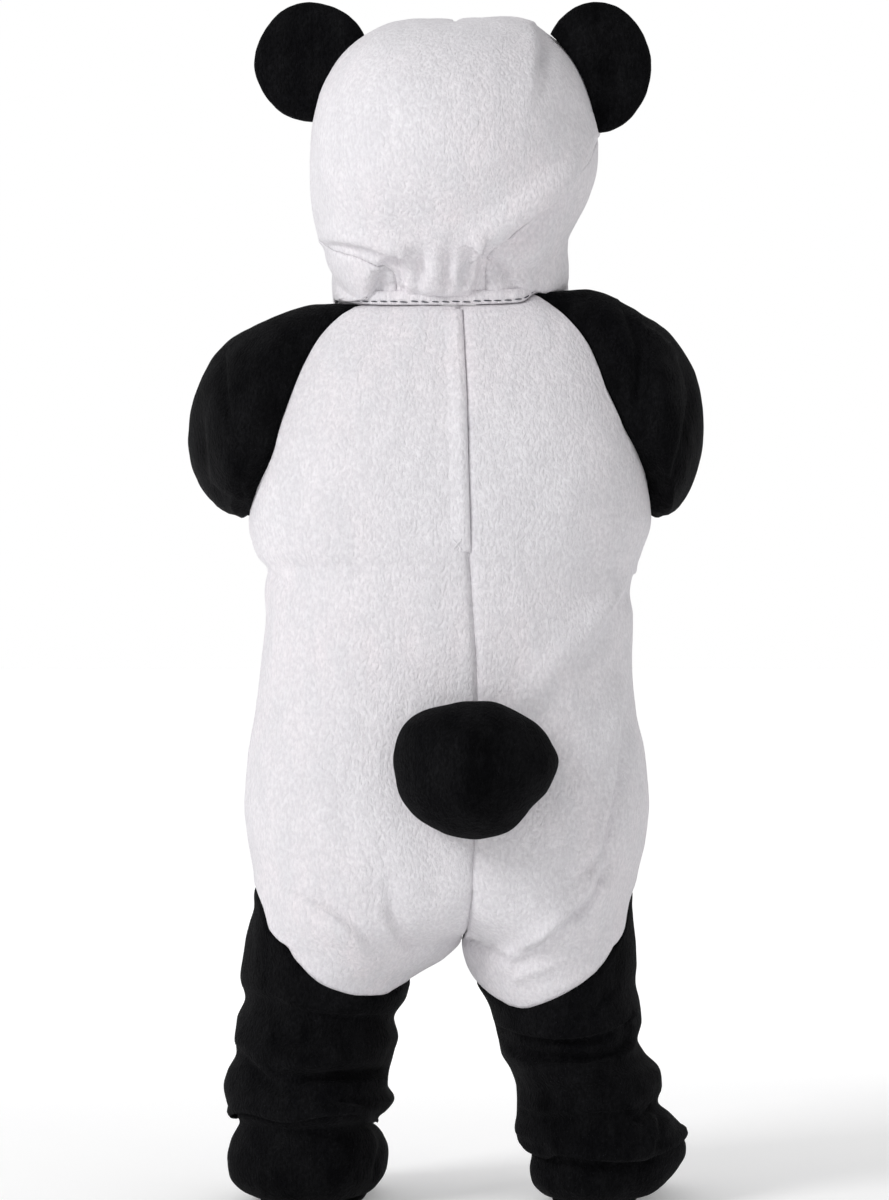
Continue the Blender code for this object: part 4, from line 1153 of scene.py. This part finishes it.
def grid_normals(grid, wrap, facing):
    """Outward normals of a grid of points."""
    down = np.gradient(grid, axis=0)
    across = (np.roll(grid, -1, 1) - np.roll(grid, 1, 1)) if wrap else np.gradient(grid, axis=1)
    return unit(np.cross(down, across) * -facing)


def shared_normals(pieces):
    """Normals that agree on both sides of every seam."""
    normals = {name: grid_normals(piece[0], piece[1], piece[2]) for name, piece in pieces.items()}
    total = {}
    edges = []
    for name, (grid, wrap, *_) in pieces.items():
        rows, columns, _ = grid.shape
        places = [(r, c) for r in (0, rows - 1) for c in range(columns)]
        if not wrap:
            places += [(r, c) for r in range(1, rows - 1) for c in (0, columns - 1)]
        for r, c in places:
            key = tuple(np.round(grid[r, c], 1) + 0.0)
            total[key] = total.get(key, 0) + normals[name][r, c]
            edges.append((name, r, c, key))
    for name, r, c, key in edges:
        normals[name][r, c] = unit(total[key])
    return normals


def edge_distance(grid, wrap, leave_out):
    """How far each point lies from the piece's nearest sewn edge, along the cloth."""
    rows, columns, _ = grid.shape
    down = np.linalg.norm(np.diff(grid, axis=0), axis=2)
    down = np.concatenate((np.zeros((1, columns)), np.cumsum(down, 0)))
    found = {"top": down, "bottom": down[-1] - down}
    if not wrap:
        across = np.linalg.norm(np.diff(grid, axis=1), axis=2)
        across = np.concatenate((np.zeros((rows, 1)), np.cumsum(across, 1)), 1)
        found["left"], found["right"] = across, across[:, -1:] - across
    sewn = [distance for name, distance in found.items() if name not in leave_out]
    hems = [found[name] for name in leave_out]
    far = np.full(grid.shape[:2], 1e3)
    return np.minimum.reduce(sewn + [far]), np.minimum.reduce(hems + [far])


def creased(points, creases):
    """How far each point is lifted by the creases on its own face of the costume."""
    x, y, z = points[..., 0], points[..., 1], points[..., 2]
    lift = np.zeros_like(x)
    for number in np.unique(creases["crease"]):
        row = creases["crease"] == number
        line = np.stack((creases["x"][row], creases["z"][row]), -1)
        height, spread, face = creases["lift"][row], creases["spread"][row], creases["face"][row][0]
        best = np.full(x.shape, 1e9)
        amount = np.zeros_like(x)
        for i in range(len(line) - 1):
            run = line[i + 1] - line[i]
            t = np.clip(((x - line[i, 0]) * run[0] + (z - line[i, 1]) * run[1]) / (run @ run), 0, 1)
            away = np.hypot(x - line[i, 0] - t * run[0], z - line[i, 1] - t * run[1])
            wide = spread[i] + (spread[i + 1] - spread[i]) * t
            here = (height[i] + (height[i + 1] - height[i]) * t) * np.exp(-((away / wide) ** 2))
            nearer = away < best
            best = np.where(nearer, away, best)
            amount = np.where(nearer, here, amount)
        lift += amount * np.clip(face * y / CREASE_FADE, 0, 1)
    return lift


def lapped(points, laps):
    """How far folds that lap over the cloth beside them lift it; what lies left of their line is on top."""
    x, z = points[..., 0], points[..., 2]
    lift = np.zeros_like(x)
    for number in np.unique(laps["lap"]):
        row = laps["lap"] == number
        line = np.stack((laps["x"][row], laps["z"][row]), -1)
        high, low, spread = laps["lift"][row], laps["drop"][row], laps["spread"][row][0]
        best = np.full(x.shape, 1e9)
        side, above, below = np.zeros_like(x), np.zeros_like(x), np.zeros_like(x)
        for i in range(len(line) - 1):
            run = line[i + 1] - line[i]
            t = np.clip(((x - line[i, 0]) * run[0] + (z - line[i, 1]) * run[1]) / (run @ run), 0, 1)
            off_x, off_z = x - line[i, 0] - t * run[0], z - line[i, 1] - t * run[1]
            away = np.hypot(off_x, off_z)
            nearer = away < best
            best = np.where(nearer, away, best)
            turned = np.where(run[0] * off_z - run[1] * off_x > 0, 1, -1) * away
            side = np.where(nearer, turned, side)
            above = np.where(nearer, high[i] + (high[i + 1] - high[i]) * t, above)
            below = np.where(nearer, low[i] + (low[i + 1] - low[i]) * t, below)
        share = 0.5 + 0.5 * np.tanh(side / LAP_EDGE)
        fall = np.exp(-((best / spread) ** 2)) * share
        sink = np.exp(-((best / (0.8 * spread)) ** 2)) * (1 - share)
        lift += (above * fall - below * sink) * np.clip(-points[..., 1] / CREASE_FADE, 0, 1)
    return lift


def wobble(points, scale, detail, seed):
    """Slow uneven swell of the cloth, between about -1 and 1."""
    flat = points.reshape(-1, 3) / scale + seed
    values = [noise.fractal(Vector(p), 1.0, 2.0, detail) for p in flat]
    return np.array(values).reshape(points.shape[:2])


def dressed(name, piece, normals):
    """The piece's points with creases, slow swell, rolled seams and turned hems."""
    grid, wrap, facing, creases, hems, finish = piece
    sewn, hem = edge_distance(grid, wrap, hems)
    swell, small = SWELL[finish]
    kind = name.split("_")[0]
    lift = creased(grid, creases) + lapped(grid, LAPPED[kind])
    lift += swell * wobble(grid, SWELL_SCALE, 2, SEEDS[0]) + small * wobble(grid, SMALL_SCALE, 2, SEEDS[1])
    lift *= SEAM_HOLD + (1 - SEAM_HOLD) * np.clip(sewn / SEAM_EASE, 0, 1)
    pucker = 1 + SEAM_PUCKER * wobble(grid, PUCKER_SCALE, 2, SEEDS[2])
    lift -= SEAM_DEEP * pucker * np.exp(-((sewn / SEAM_WIDE) ** 2))
    lift += HEM_PROUD[kind] * (1 - np.clip((hem - HEM_DEEP[kind]) / HEM_EASE, 0, 1))
    lift -= HEM_GROOVE[kind] * np.exp(-(((hem - HEM_DEEP[kind] - HEM_EASE) / HEM_GROOVE_WIDE) ** 2))
    if name.startswith("foot"):
        lift -= TUCK * np.exp(-((edge_top(grid) / TUCK_WIDE) ** 2))
    points = grid + normals * lift[..., None]
    if kind == "hood" and name != "hood_crown":
        points = drooped(points, normals, grid)
    if name == "hood_crown":
        down = np.linalg.norm(np.diff(grid, axis=0), axis=2)
        low = np.concatenate((np.cumsum(down[::-1], 0)[::-1], np.zeros((1, grid.shape[1]))))
        points[..., 2] -= NAPE_TUCK * np.exp(-((low / NAPE_TUCK_WIDE) ** 2))
    return points


def drooped(points, normals, grid):
    """The hood's sides hang over the neckband at the shoulders, as soft lobes."""
    down = np.linalg.norm(np.diff(grid, axis=0), axis=2)
    low = np.cumsum(down[::-1], 0)[::-1]
    low = np.concatenate((low, np.zeros((1, grid.shape[1]))))
    out = np.clip((np.abs(grid[-1:, :, 0] - HEAD[0]) - LOBE_FROM) / LOBE_EASE, 0, 1)
    out = np.maximum(out, np.clip(grid[-1:, :, 1] / LOBE_EASE, 0, 1))
    out = out * out * (3 - 2 * out)
    hang = np.exp(-((low / LOBE_HIGH) ** 2)) * out
    points = points + normals * (hang * LOBE_OUT)[..., None]
    points[..., 2] -= hang * LOBE_DOWN + (1 - out) * NAPE_TUCK * np.exp(-((low / NAPE_TUCK_WIDE) ** 2))
    return points


def edge_top(grid):
    """Distance down the cloth from its top edge."""
    down = np.linalg.norm(np.diff(grid, axis=0), axis=2)
    return np.concatenate((np.zeros((1, grid.shape[1])), np.cumsum(down, 0)))


def grid_faces(rows, columns, wrap, facing):
    """Quads of a grid of points, facing out."""
    index = np.arange(rows * columns).reshape(rows, columns)
    right = np.roll(index, -1, 1) if wrap else index[:, 1:]
    left = index if wrap else index[:, :-1]
    quads = np.stack((left[:-1], right[:-1], right[1:], left[1:]), -1).reshape(-1, 4)
    return quads if facing > 0 else quads[:, ::-1]


def add_mesh(name, points, faces, finish, replaced=(), closed=True):
    """A smooth mesh piece on the root body, in the finish of one material slot."""
    mesh = bpy.data.meshes.new(name)
    mesh.from_pydata((np.asarray(points).reshape(-1, 3) * MM).tolist(), [], [tuple(map(int, f)) for f in faces])
    mesh.update()
    mesh.shade_smooth()
    mesh.materials.append(FINISHES[finish])
    made = bpy.data.objects.new(name, mesh)
    bpy.context.scene.collection.objects.link(made)
    if not closed:
        thin = made.modifiers.new("cloth", "SOLIDIFY")
        thin.thickness = SHELL * MM
        thin.offset = -1
        thin.use_even_offset = False
    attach(made, "root")
    if replaced:
        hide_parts(*replaced)
    return made


def add_sheets():
    """The cloth shells, each in place of its solid."""
    pieces = cut_pieces()
    normals = shared_normals(pieces)
    for name, piece in pieces.items():
        grid, wrap, facing, _, _, finish = piece
        points = dressed(name, piece, normals[name])
        faces = grid_faces(grid.shape[0], grid.shape[1], wrap, facing)
        made = add_mesh(f"{name}_cloth", points, faces, finish, (name,), closed=False)


def neck_ring():
    """The neck edge all round, from the back middle over the left side to the front and back again."""
    halves = []
    for side in (LEFT, RIGHT):
        turn = np.linspace(0, 1, BAND_STEPS + 1)
        halves.append(body_point(side, turn, neck_height(side, turn)))
    ring = np.concatenate((halves[0], halves[1][-2:0:-1]))
    along = (np.roll(ring, -1, 0) - np.roll(ring, 1, 0)) * (1, 1, 0)
    outward = unit(np.stack((along[:, 1], -along[:, 0], 0 * along[:, 0]), -1))
    if ((ring - ring.mean(0)) * outward).sum() < 0:
        outward = -outward
    return ring, outward


def add_neckband():
    """The turned band at the neck, softly rounded, with a row of dark topstitches near its lower edge."""
    ring, outward = neck_ring()
    up = np.linspace(0, 1, BAND_SECTION + 1)
    bulge = BAND_PUFF * np.sin(math.pi * up) ** 0.5
    dip = BAND_DIP * np.exp(-(((up * BAND_TALL - STITCH_UP) / BAND_DIP_WIDE) ** 2))
    front = [(b - d, BAND_DOWN + u * BAND_TALL) for b, d, u in zip(bulge, dip, up)]
    rear = [(-BAND_DEEP, BAND_DOWN + u * BAND_TALL) for u in up[::-1]]
    rows = []
    swell = 0.35 * wobble(ring[None], 14.0, 2, 3.0)[0]
    for out, high in front + rear:
        rows.append(ring + outward * (out + swell[:, None] * (out > 0)) + (0, 0, high))
    grid = np.array(rows + rows[:1])
    faces = grid_faces(len(grid), len(ring), True, 1)
    count = len(ring)
    faces = faces % (count * (len(grid) - 1))
    middle = grid[:-1].reshape(-1, 3)
    made = add_mesh("neckband_cloth", middle, faces, "white", ("neckband",))
    fix_facing(made)
    stitches = []
    length = np.linalg.norm(np.roll(ring, -1, 0) - ring, axis=1)
    along = np.concatenate(([0], np.cumsum(length)))
    closed = np.concatenate((ring, ring[:1]))
    facing = np.concatenate((outward, outward[:1]))
    chance = np.random.default_rng(SEEDS[3])
    count = int(along[-1] / STITCH_PITCH)
    for i in range(count):
        start = i * along[-1] / count
        ends = start + np.array((0, 0.25, 0.5, 0.75, 1)) * STITCH_LONG * chance.uniform(0.88, 1.06)
        line = np.stack([np.interp(ends, along, closed[:, k]) for k in range(3)], -1)
        out = np.stack([np.interp(ends, along, facing[:, k]) for k in range(3)], -1)
        sunk = np.array((-0.5, 0.15, 0.3, 0.15, -0.5)) * STITCH_THICK + STITCH_OUT
        line = line + out * sunk[:, None]
        line[:, 2] += BAND_DOWN + STITCH_UP + chance.uniform(-0.25, 0.25) + np.linspace(-0.15, 0.15, 5)
        stitches.append(thread(line, STITCH_THICK / 2))
    joined("topstitch", stitches, "thread")


def thread(line, radius):
    """A short closed tube through a few points, as (points, faces)."""
    sides = 6
    ahead = unit(np.gradient(line, axis=0))
    side = unit(np.cross(ahead, (0.0, 0.0, 1.0)))
    up = np.cross(side, ahead)
    angle = np.arange(sides) * 2 * math.pi / sides
    round_it = np.array([0.5] + [1] * (len(line) - 2) + [0.5]) * radius
    rings = [
        p + r * (np.outer(np.cos(angle), s) + np.outer(np.sin(angle), u))
        for p, s, u, r in zip(line, side, up, round_it)
    ]
    faces = [tuple(f) for f in grid_faces(len(line), sides, True, 1)]
    last = (len(line) - 1) * sides
    faces += [tuple(range(sides)), tuple(last + i for i in range(sides))[::-1]]
    return np.concatenate(rings), faces


def joined(name, shapes, finish, replaced=()):
    """Many small closed shapes as one mesh."""
    points, faces = [], []
    start = 0
    for shape, sides in shapes:
        points.append(shape)
        faces += [tuple(i + start for i in face) for face in sides]
        start += len(shape)
    made = add_mesh(name, np.concatenate(points), faces, finish, replaced)
    fix_facing(made)
    return made


def fix_facing(made):
    """Turns the faces of closed shapes outwards."""
    import bmesh
    shape = bmesh.new()
    shape.from_mesh(made.data)
    bmesh.ops.recalc_face_normals(shape, faces=shape.faces)
    shape.to_mesh(made.data)
    shape.free()


def add_placket():
    """The closing edge: the left back panel's turned edge stands proud of the right one, down to a tack."""
    z = np.linspace(PLACKET_TOP, PLACKET_END, PLACKET_ROWS)[:, None]
    across = np.linspace(0, 1, PLACKET_ACROSS)[None, :]
    middle = through(TORSO["z"], TORSO["middle"], z)
    x = middle + PLACKET_OVER - (PLACKET_WIDE + PLACKET_OVER) * (1 - across)
    clear = np.minimum(x, middle - 0.05)
    surface = body_point(LEFT, turn_at(LEFT, clear, z, -1), z + 0 * x)
    surface[..., 0] = x
    ends = np.minimum(np.clip((PLACKET_TOP - z) / 6, 0, 1), np.clip((z - PLACKET_END) / 9, 0, 1)) ** 0.5
    swell, small = SWELL["white"]
    under = swell * wobble(surface, SWELL_SCALE, 2, SEEDS[0]) + small * wobble(surface, SMALL_SCALE, 2, SEEDS[1])
    under *= SEAM_HOLD + (1 - SEAM_HOLD) * np.clip((middle - x) / SEAM_EASE, 0, 1)
    lean = np.clip(across / PLACKET_PEAK, 0, 1)
    lean = lean * lean * (3 - 2 * lean) * np.clip((1 - across) / (1 - PLACKET_PEAK), 0, 1) ** 0.5
    rise = PLACKET_PROUD * lean * (0.35 + 0.65 * ends) * (1 + 0.35 * wobble(surface, 18.0, 2, 5.0))
    outer = surface + np.stack((0 * rise, -(under + rise - 0.15 * (1 - lean)), 0 * rise), -1)
    inner = surface + (0, 1.2, 0)
    rows, columns = x.shape
    count = rows * columns
    faces = [tuple(f) for f in grid_faces(rows, columns, False, 1)]
    faces += [tuple(i + count for i in f[::-1]) for f in faces]
    index = np.arange(count).reshape(rows, columns)
    ring = list(index[0]) + list(index[1:, -1]) + list(index[-1, -2::-1]) + list(index[-2:0:-1, 0])
    faces += [(b, a, a + count, b + count) for a, b in zip(ring, ring[1:] + ring[:1])]
    points = np.concatenate((outer.reshape(-1, 3), inner.reshape(-1, 3)))
    made = add_mesh("placket_cloth", points, faces, "white", ("placket",))
    fix_facing(made)
    return outer


def add_tack(cloth):
    """The small cross of white thread at the end of the closing edge, laid on its cloth."""
    flat = cloth.reshape(-1, 3)
    shapes = []
    for lean in (-1, 1):
        t = np.linspace(-1, 1, 9)
        x, z = TACK_X + lean * t * TACK_HALF, TACK_Z + t * TACK_HALF * 1.15
        away = np.hypot(flat[:, 0] - x[:, None], flat[:, 2] - z[:, None])
        y = flat[np.argmin(away, 1), 1] - TACK_OUT * (1 - 0.8 * t**4)
        shapes.append(thread(np.stack((x, y, z), -1), TACK_THICK / 2))
    joined("tack", shapes, "white")


def ball(around, down):
    """Directions on a round ball with its poles at the back and the front, and its quads."""
    angle = np.linspace(0, 2 * math.pi, around + 1)[:-1]
    fall = np.linspace(0, math.pi, down + 1)[1:-1]
    spin = np.stack((np.cos(angle)[None] * np.sin(fall)[:, None], -np.cos(fall)[:, None] + 0 * angle[None],
                     np.sin(angle)[None] * np.sin(fall)[:, None]), -1)
    ways = np.concatenate((spin.reshape(-1, 3), [(0, -1, 0), (0, 1, 0)]))
    faces = [tuple(f) for f in grid_faces(down - 1, around, True, 1)]
    south, north = len(ways) - 2, len(ways) - 1
    last = (down - 2) * around
    faces += [(i, (i + 1) % around, south) for i in range(around)]
    faces += [(last + (i + 1) % around, last + i, north) for i in range(around)]
    return ways, faces


def rim_groove(ways, deep, wide, pucker):
    """How far a stuffed piece is drawn in along the seam round its rim."""
    angle = np.arctan2(ways[:, 2], ways[:, 0])
    gathers = 1 + pucker * np.sin(31 * angle + 2 * np.sin(3 * angle)) * np.exp(-((ways[:, 1] / (3 * wide)) ** 2))
    return deep * gathers * np.exp(-((ways[:, 1] / wide) ** 2))


def add_ears():
    """Two stuffed discs with a seam round the rim, each following the hood where it is sewn on."""
    for side, x, y, z, wide, deep, tall in zip(*EARS.values()):
        ways, faces = ball(120, 48)
        full = np.stack((ways[:, 0], np.sign(ways[:, 1]) * np.abs(ways[:, 1]) ** EAR_FULL, ways[:, 2]), -1)
        half, middle = np.array((wide, deep, tall)), np.array((x, y, z))
        outside, inside = np.zeros(len(ways)), np.full(len(ways), 2.0)
        for _ in range(EAR_HALVINGS):
            share = (outside + inside) / 2
            way = middle + half * full * np.minimum(share, 1)[:, None] - HEAD
            length = np.linalg.norm(way, axis=-1)
            clear = length > hood_reach(way / length[:, None])
            outside, inside = np.where(clear, share, outside), np.where(clear, inside, share)
        share = np.minimum(outside, 1)
        points = middle + half * full * share[:, None]
        angle = np.arctan2(full[:, 2], full[:, 0])
        lump = EAR_LUMP * (np.sin(2 * angle + side) + 0.7 * np.sin(5 * angle + 2 * side))
        grow = lump - rim_groove(ways, EAR_RIM, 0.10, 0.35)
        grow += EAR_SWELL * wobble(points[None], 22.0, 2, 7.0 + side)[0]
        points += unit(full / half) * (grow * (share >= 1))[:, None]
        name = "left" if side < 0 else "right"
        made = add_mesh(f"ear_{name}_stuffed", points, faces, "black", (f"ear_{name}",))
        fix_facing(made)


def add_tail():
    """A flattened stuffed ball in two layers, with slow lumps and a seam round its rim."""
    x, y, z, wide, deep, tall = (column[0] for column in TAIL.values())
    ways, faces = ball(168, 80)
    angle = np.arctan2(ways[:, 2], ways[:, 0])
    lump = 1 + TAIL_LUMPS * (np.sin(3 * angle + 0.6) + 0.6 * np.sin(5 * angle + 2))
    lump = lump + TAIL_EDGE * np.sin(9 * angle + 1.3 * np.sin(2 * angle))
    far = np.where(ways[:, 1] > 0, TAIL_INNER, deep)
    points = np.array((x, y, z)) + ways * np.stack((wide * lump, far, tall * lump), -1)
    grow = TAIL_SWELL * wobble(points[None], 26.0, 2, 11.0)[0] - rim_groove(ways, TAIL_RIM, 0.07, 0.4)
    points += unit(ways) * grow[:, None]
    made = add_mesh("tail_stuffed", points, faces, "black", ("tail",))
    fix_facing(made)


def add_soles():
    """Flat soles under the feet, a little rounded at the edge."""
    for side, name in ((LEFT, "left"), (RIGHT, "right")):
        turn = np.linspace(0, 1, LEG_COLUMNS + 1)[:-1]
        ring = body_point(side, turn, 0 * turn + FLOOR + SOLE)
        middle = ring.mean(0)
        rows = []
        for share, up in ((0.985, 0.0), (1.0, -0.5), (1.0, -1.4), (SOLE_TAPER, -2.1), (0.96, -SOLE), (0.6, -SOLE)):
            rows.append(middle + (ring - middle) * share + (0, 0, up))
        points = np.concatenate(rows + [[middle, middle - (0, 0, SOLE)]])
        count = len(turn)
        faces = [tuple(f) for f in grid_faces(len(rows), count, True, 1)]
        top, low, last = len(points) - 2, len(points) - 1, (len(rows) - 1) * count
        faces += [(i, (i + 1) % count, top) for i in range(count)]
        faces += [(last + i, last + (i + 1) % count, low) for i in range(count)]
        made = add_mesh(f"sole_{name}_cloth", points, faces, "black", (f"sole_{name}",))
        fix_facing(made)


def mix_noise(tree, place, scale, detail, rough, low, high):
    """Noise stretched to run from one value to another."""
    made = tree.nodes.new("ShaderNodeTexNoise")
    made.inputs["Scale"].default_value = scale
    made.inputs["Detail"].default_value = detail
    made.inputs["Roughness"].default_value = rough
    tree.links.new(place, made.inputs["Vector"])
    spread = tree.nodes.new("ShaderNodeMapRange")
    spread.inputs["From Min"].default_value = 0.36
    spread.inputs["From Max"].default_value = 0.64
    spread.inputs["To Min"].default_value = low
    spread.inputs["To Max"].default_value = high
    tree.links.new(made.outputs["Fac"], spread.inputs["Value"])
    return spread.outputs["Result"]


def stretched(tree, place, scale):
    made = tree.nodes.new("ShaderNodeMapping")
    made.inputs["Scale"].default_value = scale
    tree.links.new(place, made.inputs["Vector"])
    return made.outputs["Vector"]


def blend_colours(tree, share, first, second):
    made = tree.nodes.new("ShaderNodeMix")
    made.data_type = "RGBA"
    tree.links.new(share, made.inputs["Factor"])
    for socket, colour in (("A", first), ("B", second)):
        target = made.inputs[6 if socket == "A" else 7]
        if isinstance(colour, tuple):
            target.default_value = colour
        else:
            tree.links.new(colour, target)
    return made.outputs[2]


def bumped(tree, height, strength, distance, below=None):
    made = tree.nodes.new("ShaderNodeBump")
    made.inputs["Strength"].default_value = strength
    made.inputs["Distance"].default_value = distance
    tree.links.new(height, made.inputs["Height"])
    if below is not None:
        tree.links.new(below, made.inputs["Normal"])
    return made.outputs["Normal"]


def plush(name, look):
    """Short-pile plush: brushed patches, fine pile, soft sheen."""
    made = bpy.data.materials.new(name)
    made.use_nodes = True
    tree = made.node_tree
    shader = tree.nodes["Principled BSDF"]
    place = tree.nodes.new("ShaderNodeTexCoord").outputs["Object"]
    brushed = mix_noise(tree, stretched(tree, place, (1.0, 1.0, 0.45)), look["patch"], 5, 0.62, 0, 1)
    broad = mix_noise(tree, place, look["broad"], 2, 0.5, 0, 1)
    pile = mix_noise(tree, stretched(tree, place, (1.0, 1.0, 0.6)), look["pile"], 3, 0.6, 0, 1)
    base = blend_colours(tree, broad, look["base"], look["tint"])
    base = blend_colours(tree, brushed, base, look["brushed"])
    colour = blend_colours(tree, scaled(tree, pile, look["speckle"]), base, look["deep"])
    tree.links.new(colour, shader.inputs["Base Color"])
    shader.inputs["Roughness"].default_value = look["rough"]
    shader.inputs["Sheen Weight"].default_value = look["sheen"]
    shader.inputs["Sheen Roughness"].default_value = look["sheen_rough"]
    shader.inputs["Sheen Tint"].default_value = look["sheen_tint"]
    shader.inputs["Specular IOR Level"].default_value = look["specular"]
    normal = bumped(tree, brushed, look["patch_bump"], 0.0012)
    normal = bumped(tree, pile, look["pile_bump"], 0.0007, normal)
    tree.links.new(normal, shader.inputs["Normal"])
    return made


def scaled(tree, value, amount):
    made = tree.nodes.new("ShaderNodeMath")
    made.operation = "MULTIPLY"
    tree.links.new(value, made.inputs[0])
    made.inputs[1].default_value = amount
    return made.outputs["Value"]


def thread_finish():
    """Dark twisted thread."""
    made = bpy.data.materials.new("dark_thread")
    made.use_nodes = True
    tree = made.node_tree
    shader = tree.nodes["Principled BSDF"]
    place = tree.nodes.new("ShaderNodeTexCoord").outputs["Object"]
    twist = mix_noise(tree, place, 1800.0, 2, 0.5, 0, 1)
    tree.links.new(blend_colours(tree, twist, (0.012, 0.013, 0.02, 1), (0.04, 0.045, 0.07, 1)),
                   shader.inputs["Base Color"])
    shader.inputs["Roughness"].default_value = 0.7
    tree.links.new(bumped(tree, twist, 0.4, 0.0002), shader.inputs["Normal"])
    return made


# Painted light: the floor's emission rises with its depth, a glow that stands in for light falling on it and
# bouncing up onto the costume
def glowing_floor_finish():
    made = bpy.data.materials.new("pale_glowing_floor")
    made.use_nodes = True
    tree = made.node_tree
    shader = tree.nodes["Principled BSDF"]
    place = tree.nodes.new("ShaderNodeTexCoord").outputs["Object"]
    patches = mix_noise(tree, place, 3.0, 3, 0.5, 0, 1)
    tree.links.new(blend_colours(tree, patches, (0.88, 0.88, 0.885, 1), (0.9, 0.9, 0.9, 1)),
                   shader.inputs["Base Color"])
    shader.inputs["Roughness"].default_value = 0.8
    way = tree.nodes.new("ShaderNodeSeparateXYZ")
    tree.links.new(place, way.inputs["Vector"])
    far = tree.nodes.new("ShaderNodeMapRange")
    far.interpolation_type = "SMOOTHSTEP"
    far.inputs["From Min"].default_value = FLOOR_FROM
    far.inputs["From Max"].default_value = FLOOR_TO
    far.inputs["To Min"].default_value = FLOOR_GLOW_NEAR
    far.inputs["To Max"].default_value = FLOOR_GLOW_FAR
    tree.links.new(way.outputs["Y"], far.inputs["Value"])
    shader.inputs["Emission Color"].default_value = (1, 1, 1, 1)
    tree.links.new(far.outputs["Result"], shader.inputs["Emission Strength"])
    return made


def studio_world():
    """Soft white surroundings, brighter behind the costume, like a lit paper backdrop."""
    world = bpy.data.worlds.new("studio")
    world.use_nodes = True
    tree = world.node_tree
    way = tree.nodes.new("ShaderNodeSeparateXYZ")
    tree.links.new(tree.nodes.new("ShaderNodeTexCoord").outputs["Generated"], way.inputs["Vector"])
    spread = tree.nodes.new("ShaderNodeMapRange")
    spread.interpolation_type = "SMOOTHSTEP"
    spread.inputs["From Min"].default_value = 0.2
    spread.inputs["From Max"].default_value = 0.9
    spread.inputs["To Min"].default_value = WORLD_ROOM
    spread.inputs["To Max"].default_value = WORLD_BACKDROP
    tree.links.new(way.outputs["Y"], spread.inputs["Value"])
    background = tree.nodes["Background"]
    background.inputs["Color"].default_value = (1, 1, 1, 1)
    tree.links.new(spread.outputs["Result"], background.inputs["Strength"])
    return world


def add_studio():
    """A pale floor that glows with painted light, soft lights and the camera at the photo's angle."""
    bpy.ops.mesh.primitive_plane_add(size=40, location=(0, 0, FLOOR * MM - 0.0006))
    floor = bpy.context.object
    floor.name = "floor"
    floor.data.materials.append(glowing_floor_finish())
    bpy.context.scene.world = studio_world()
    for name, place, aim, power, size in LIGHTS:
        lamp = bpy.data.lights.new(name, "AREA")
        lamp.energy = power
        lamp.size = size
        made = bpy.data.objects.new(name, lamp)
        made.location = place
        made.rotation_euler = (Vector(aim) - Vector(place)).to_track_quat("-Z", "Y").to_euler()
        bpy.context.scene.collection.objects.link(made)
    camera = bpy.data.objects.new("camera", bpy.data.cameras.new("camera"))
    bpy.context.scene.collection.objects.link(camera)
    camera.data.lens = CAMERA_LENS
    camera.data.sensor_width = CAMERA_SENSOR
    camera.location = CAMERA_AT
    camera.rotation_euler = (math.pi / 2, 0, 0)
    bpy.context.scene.camera = camera
    bpy.context.scene.view_settings.view_transform = "Standard"


FINISHES = {"white": plush("white_plush_cloth", WHITE), "black": plush("black_plush_cloth", BLACK),
            "thread": thread_finish()}

add_sheets()
add_neckband()
add_tack(add_placket())
add_ears()
add_tail()
add_soles()
add_studio()
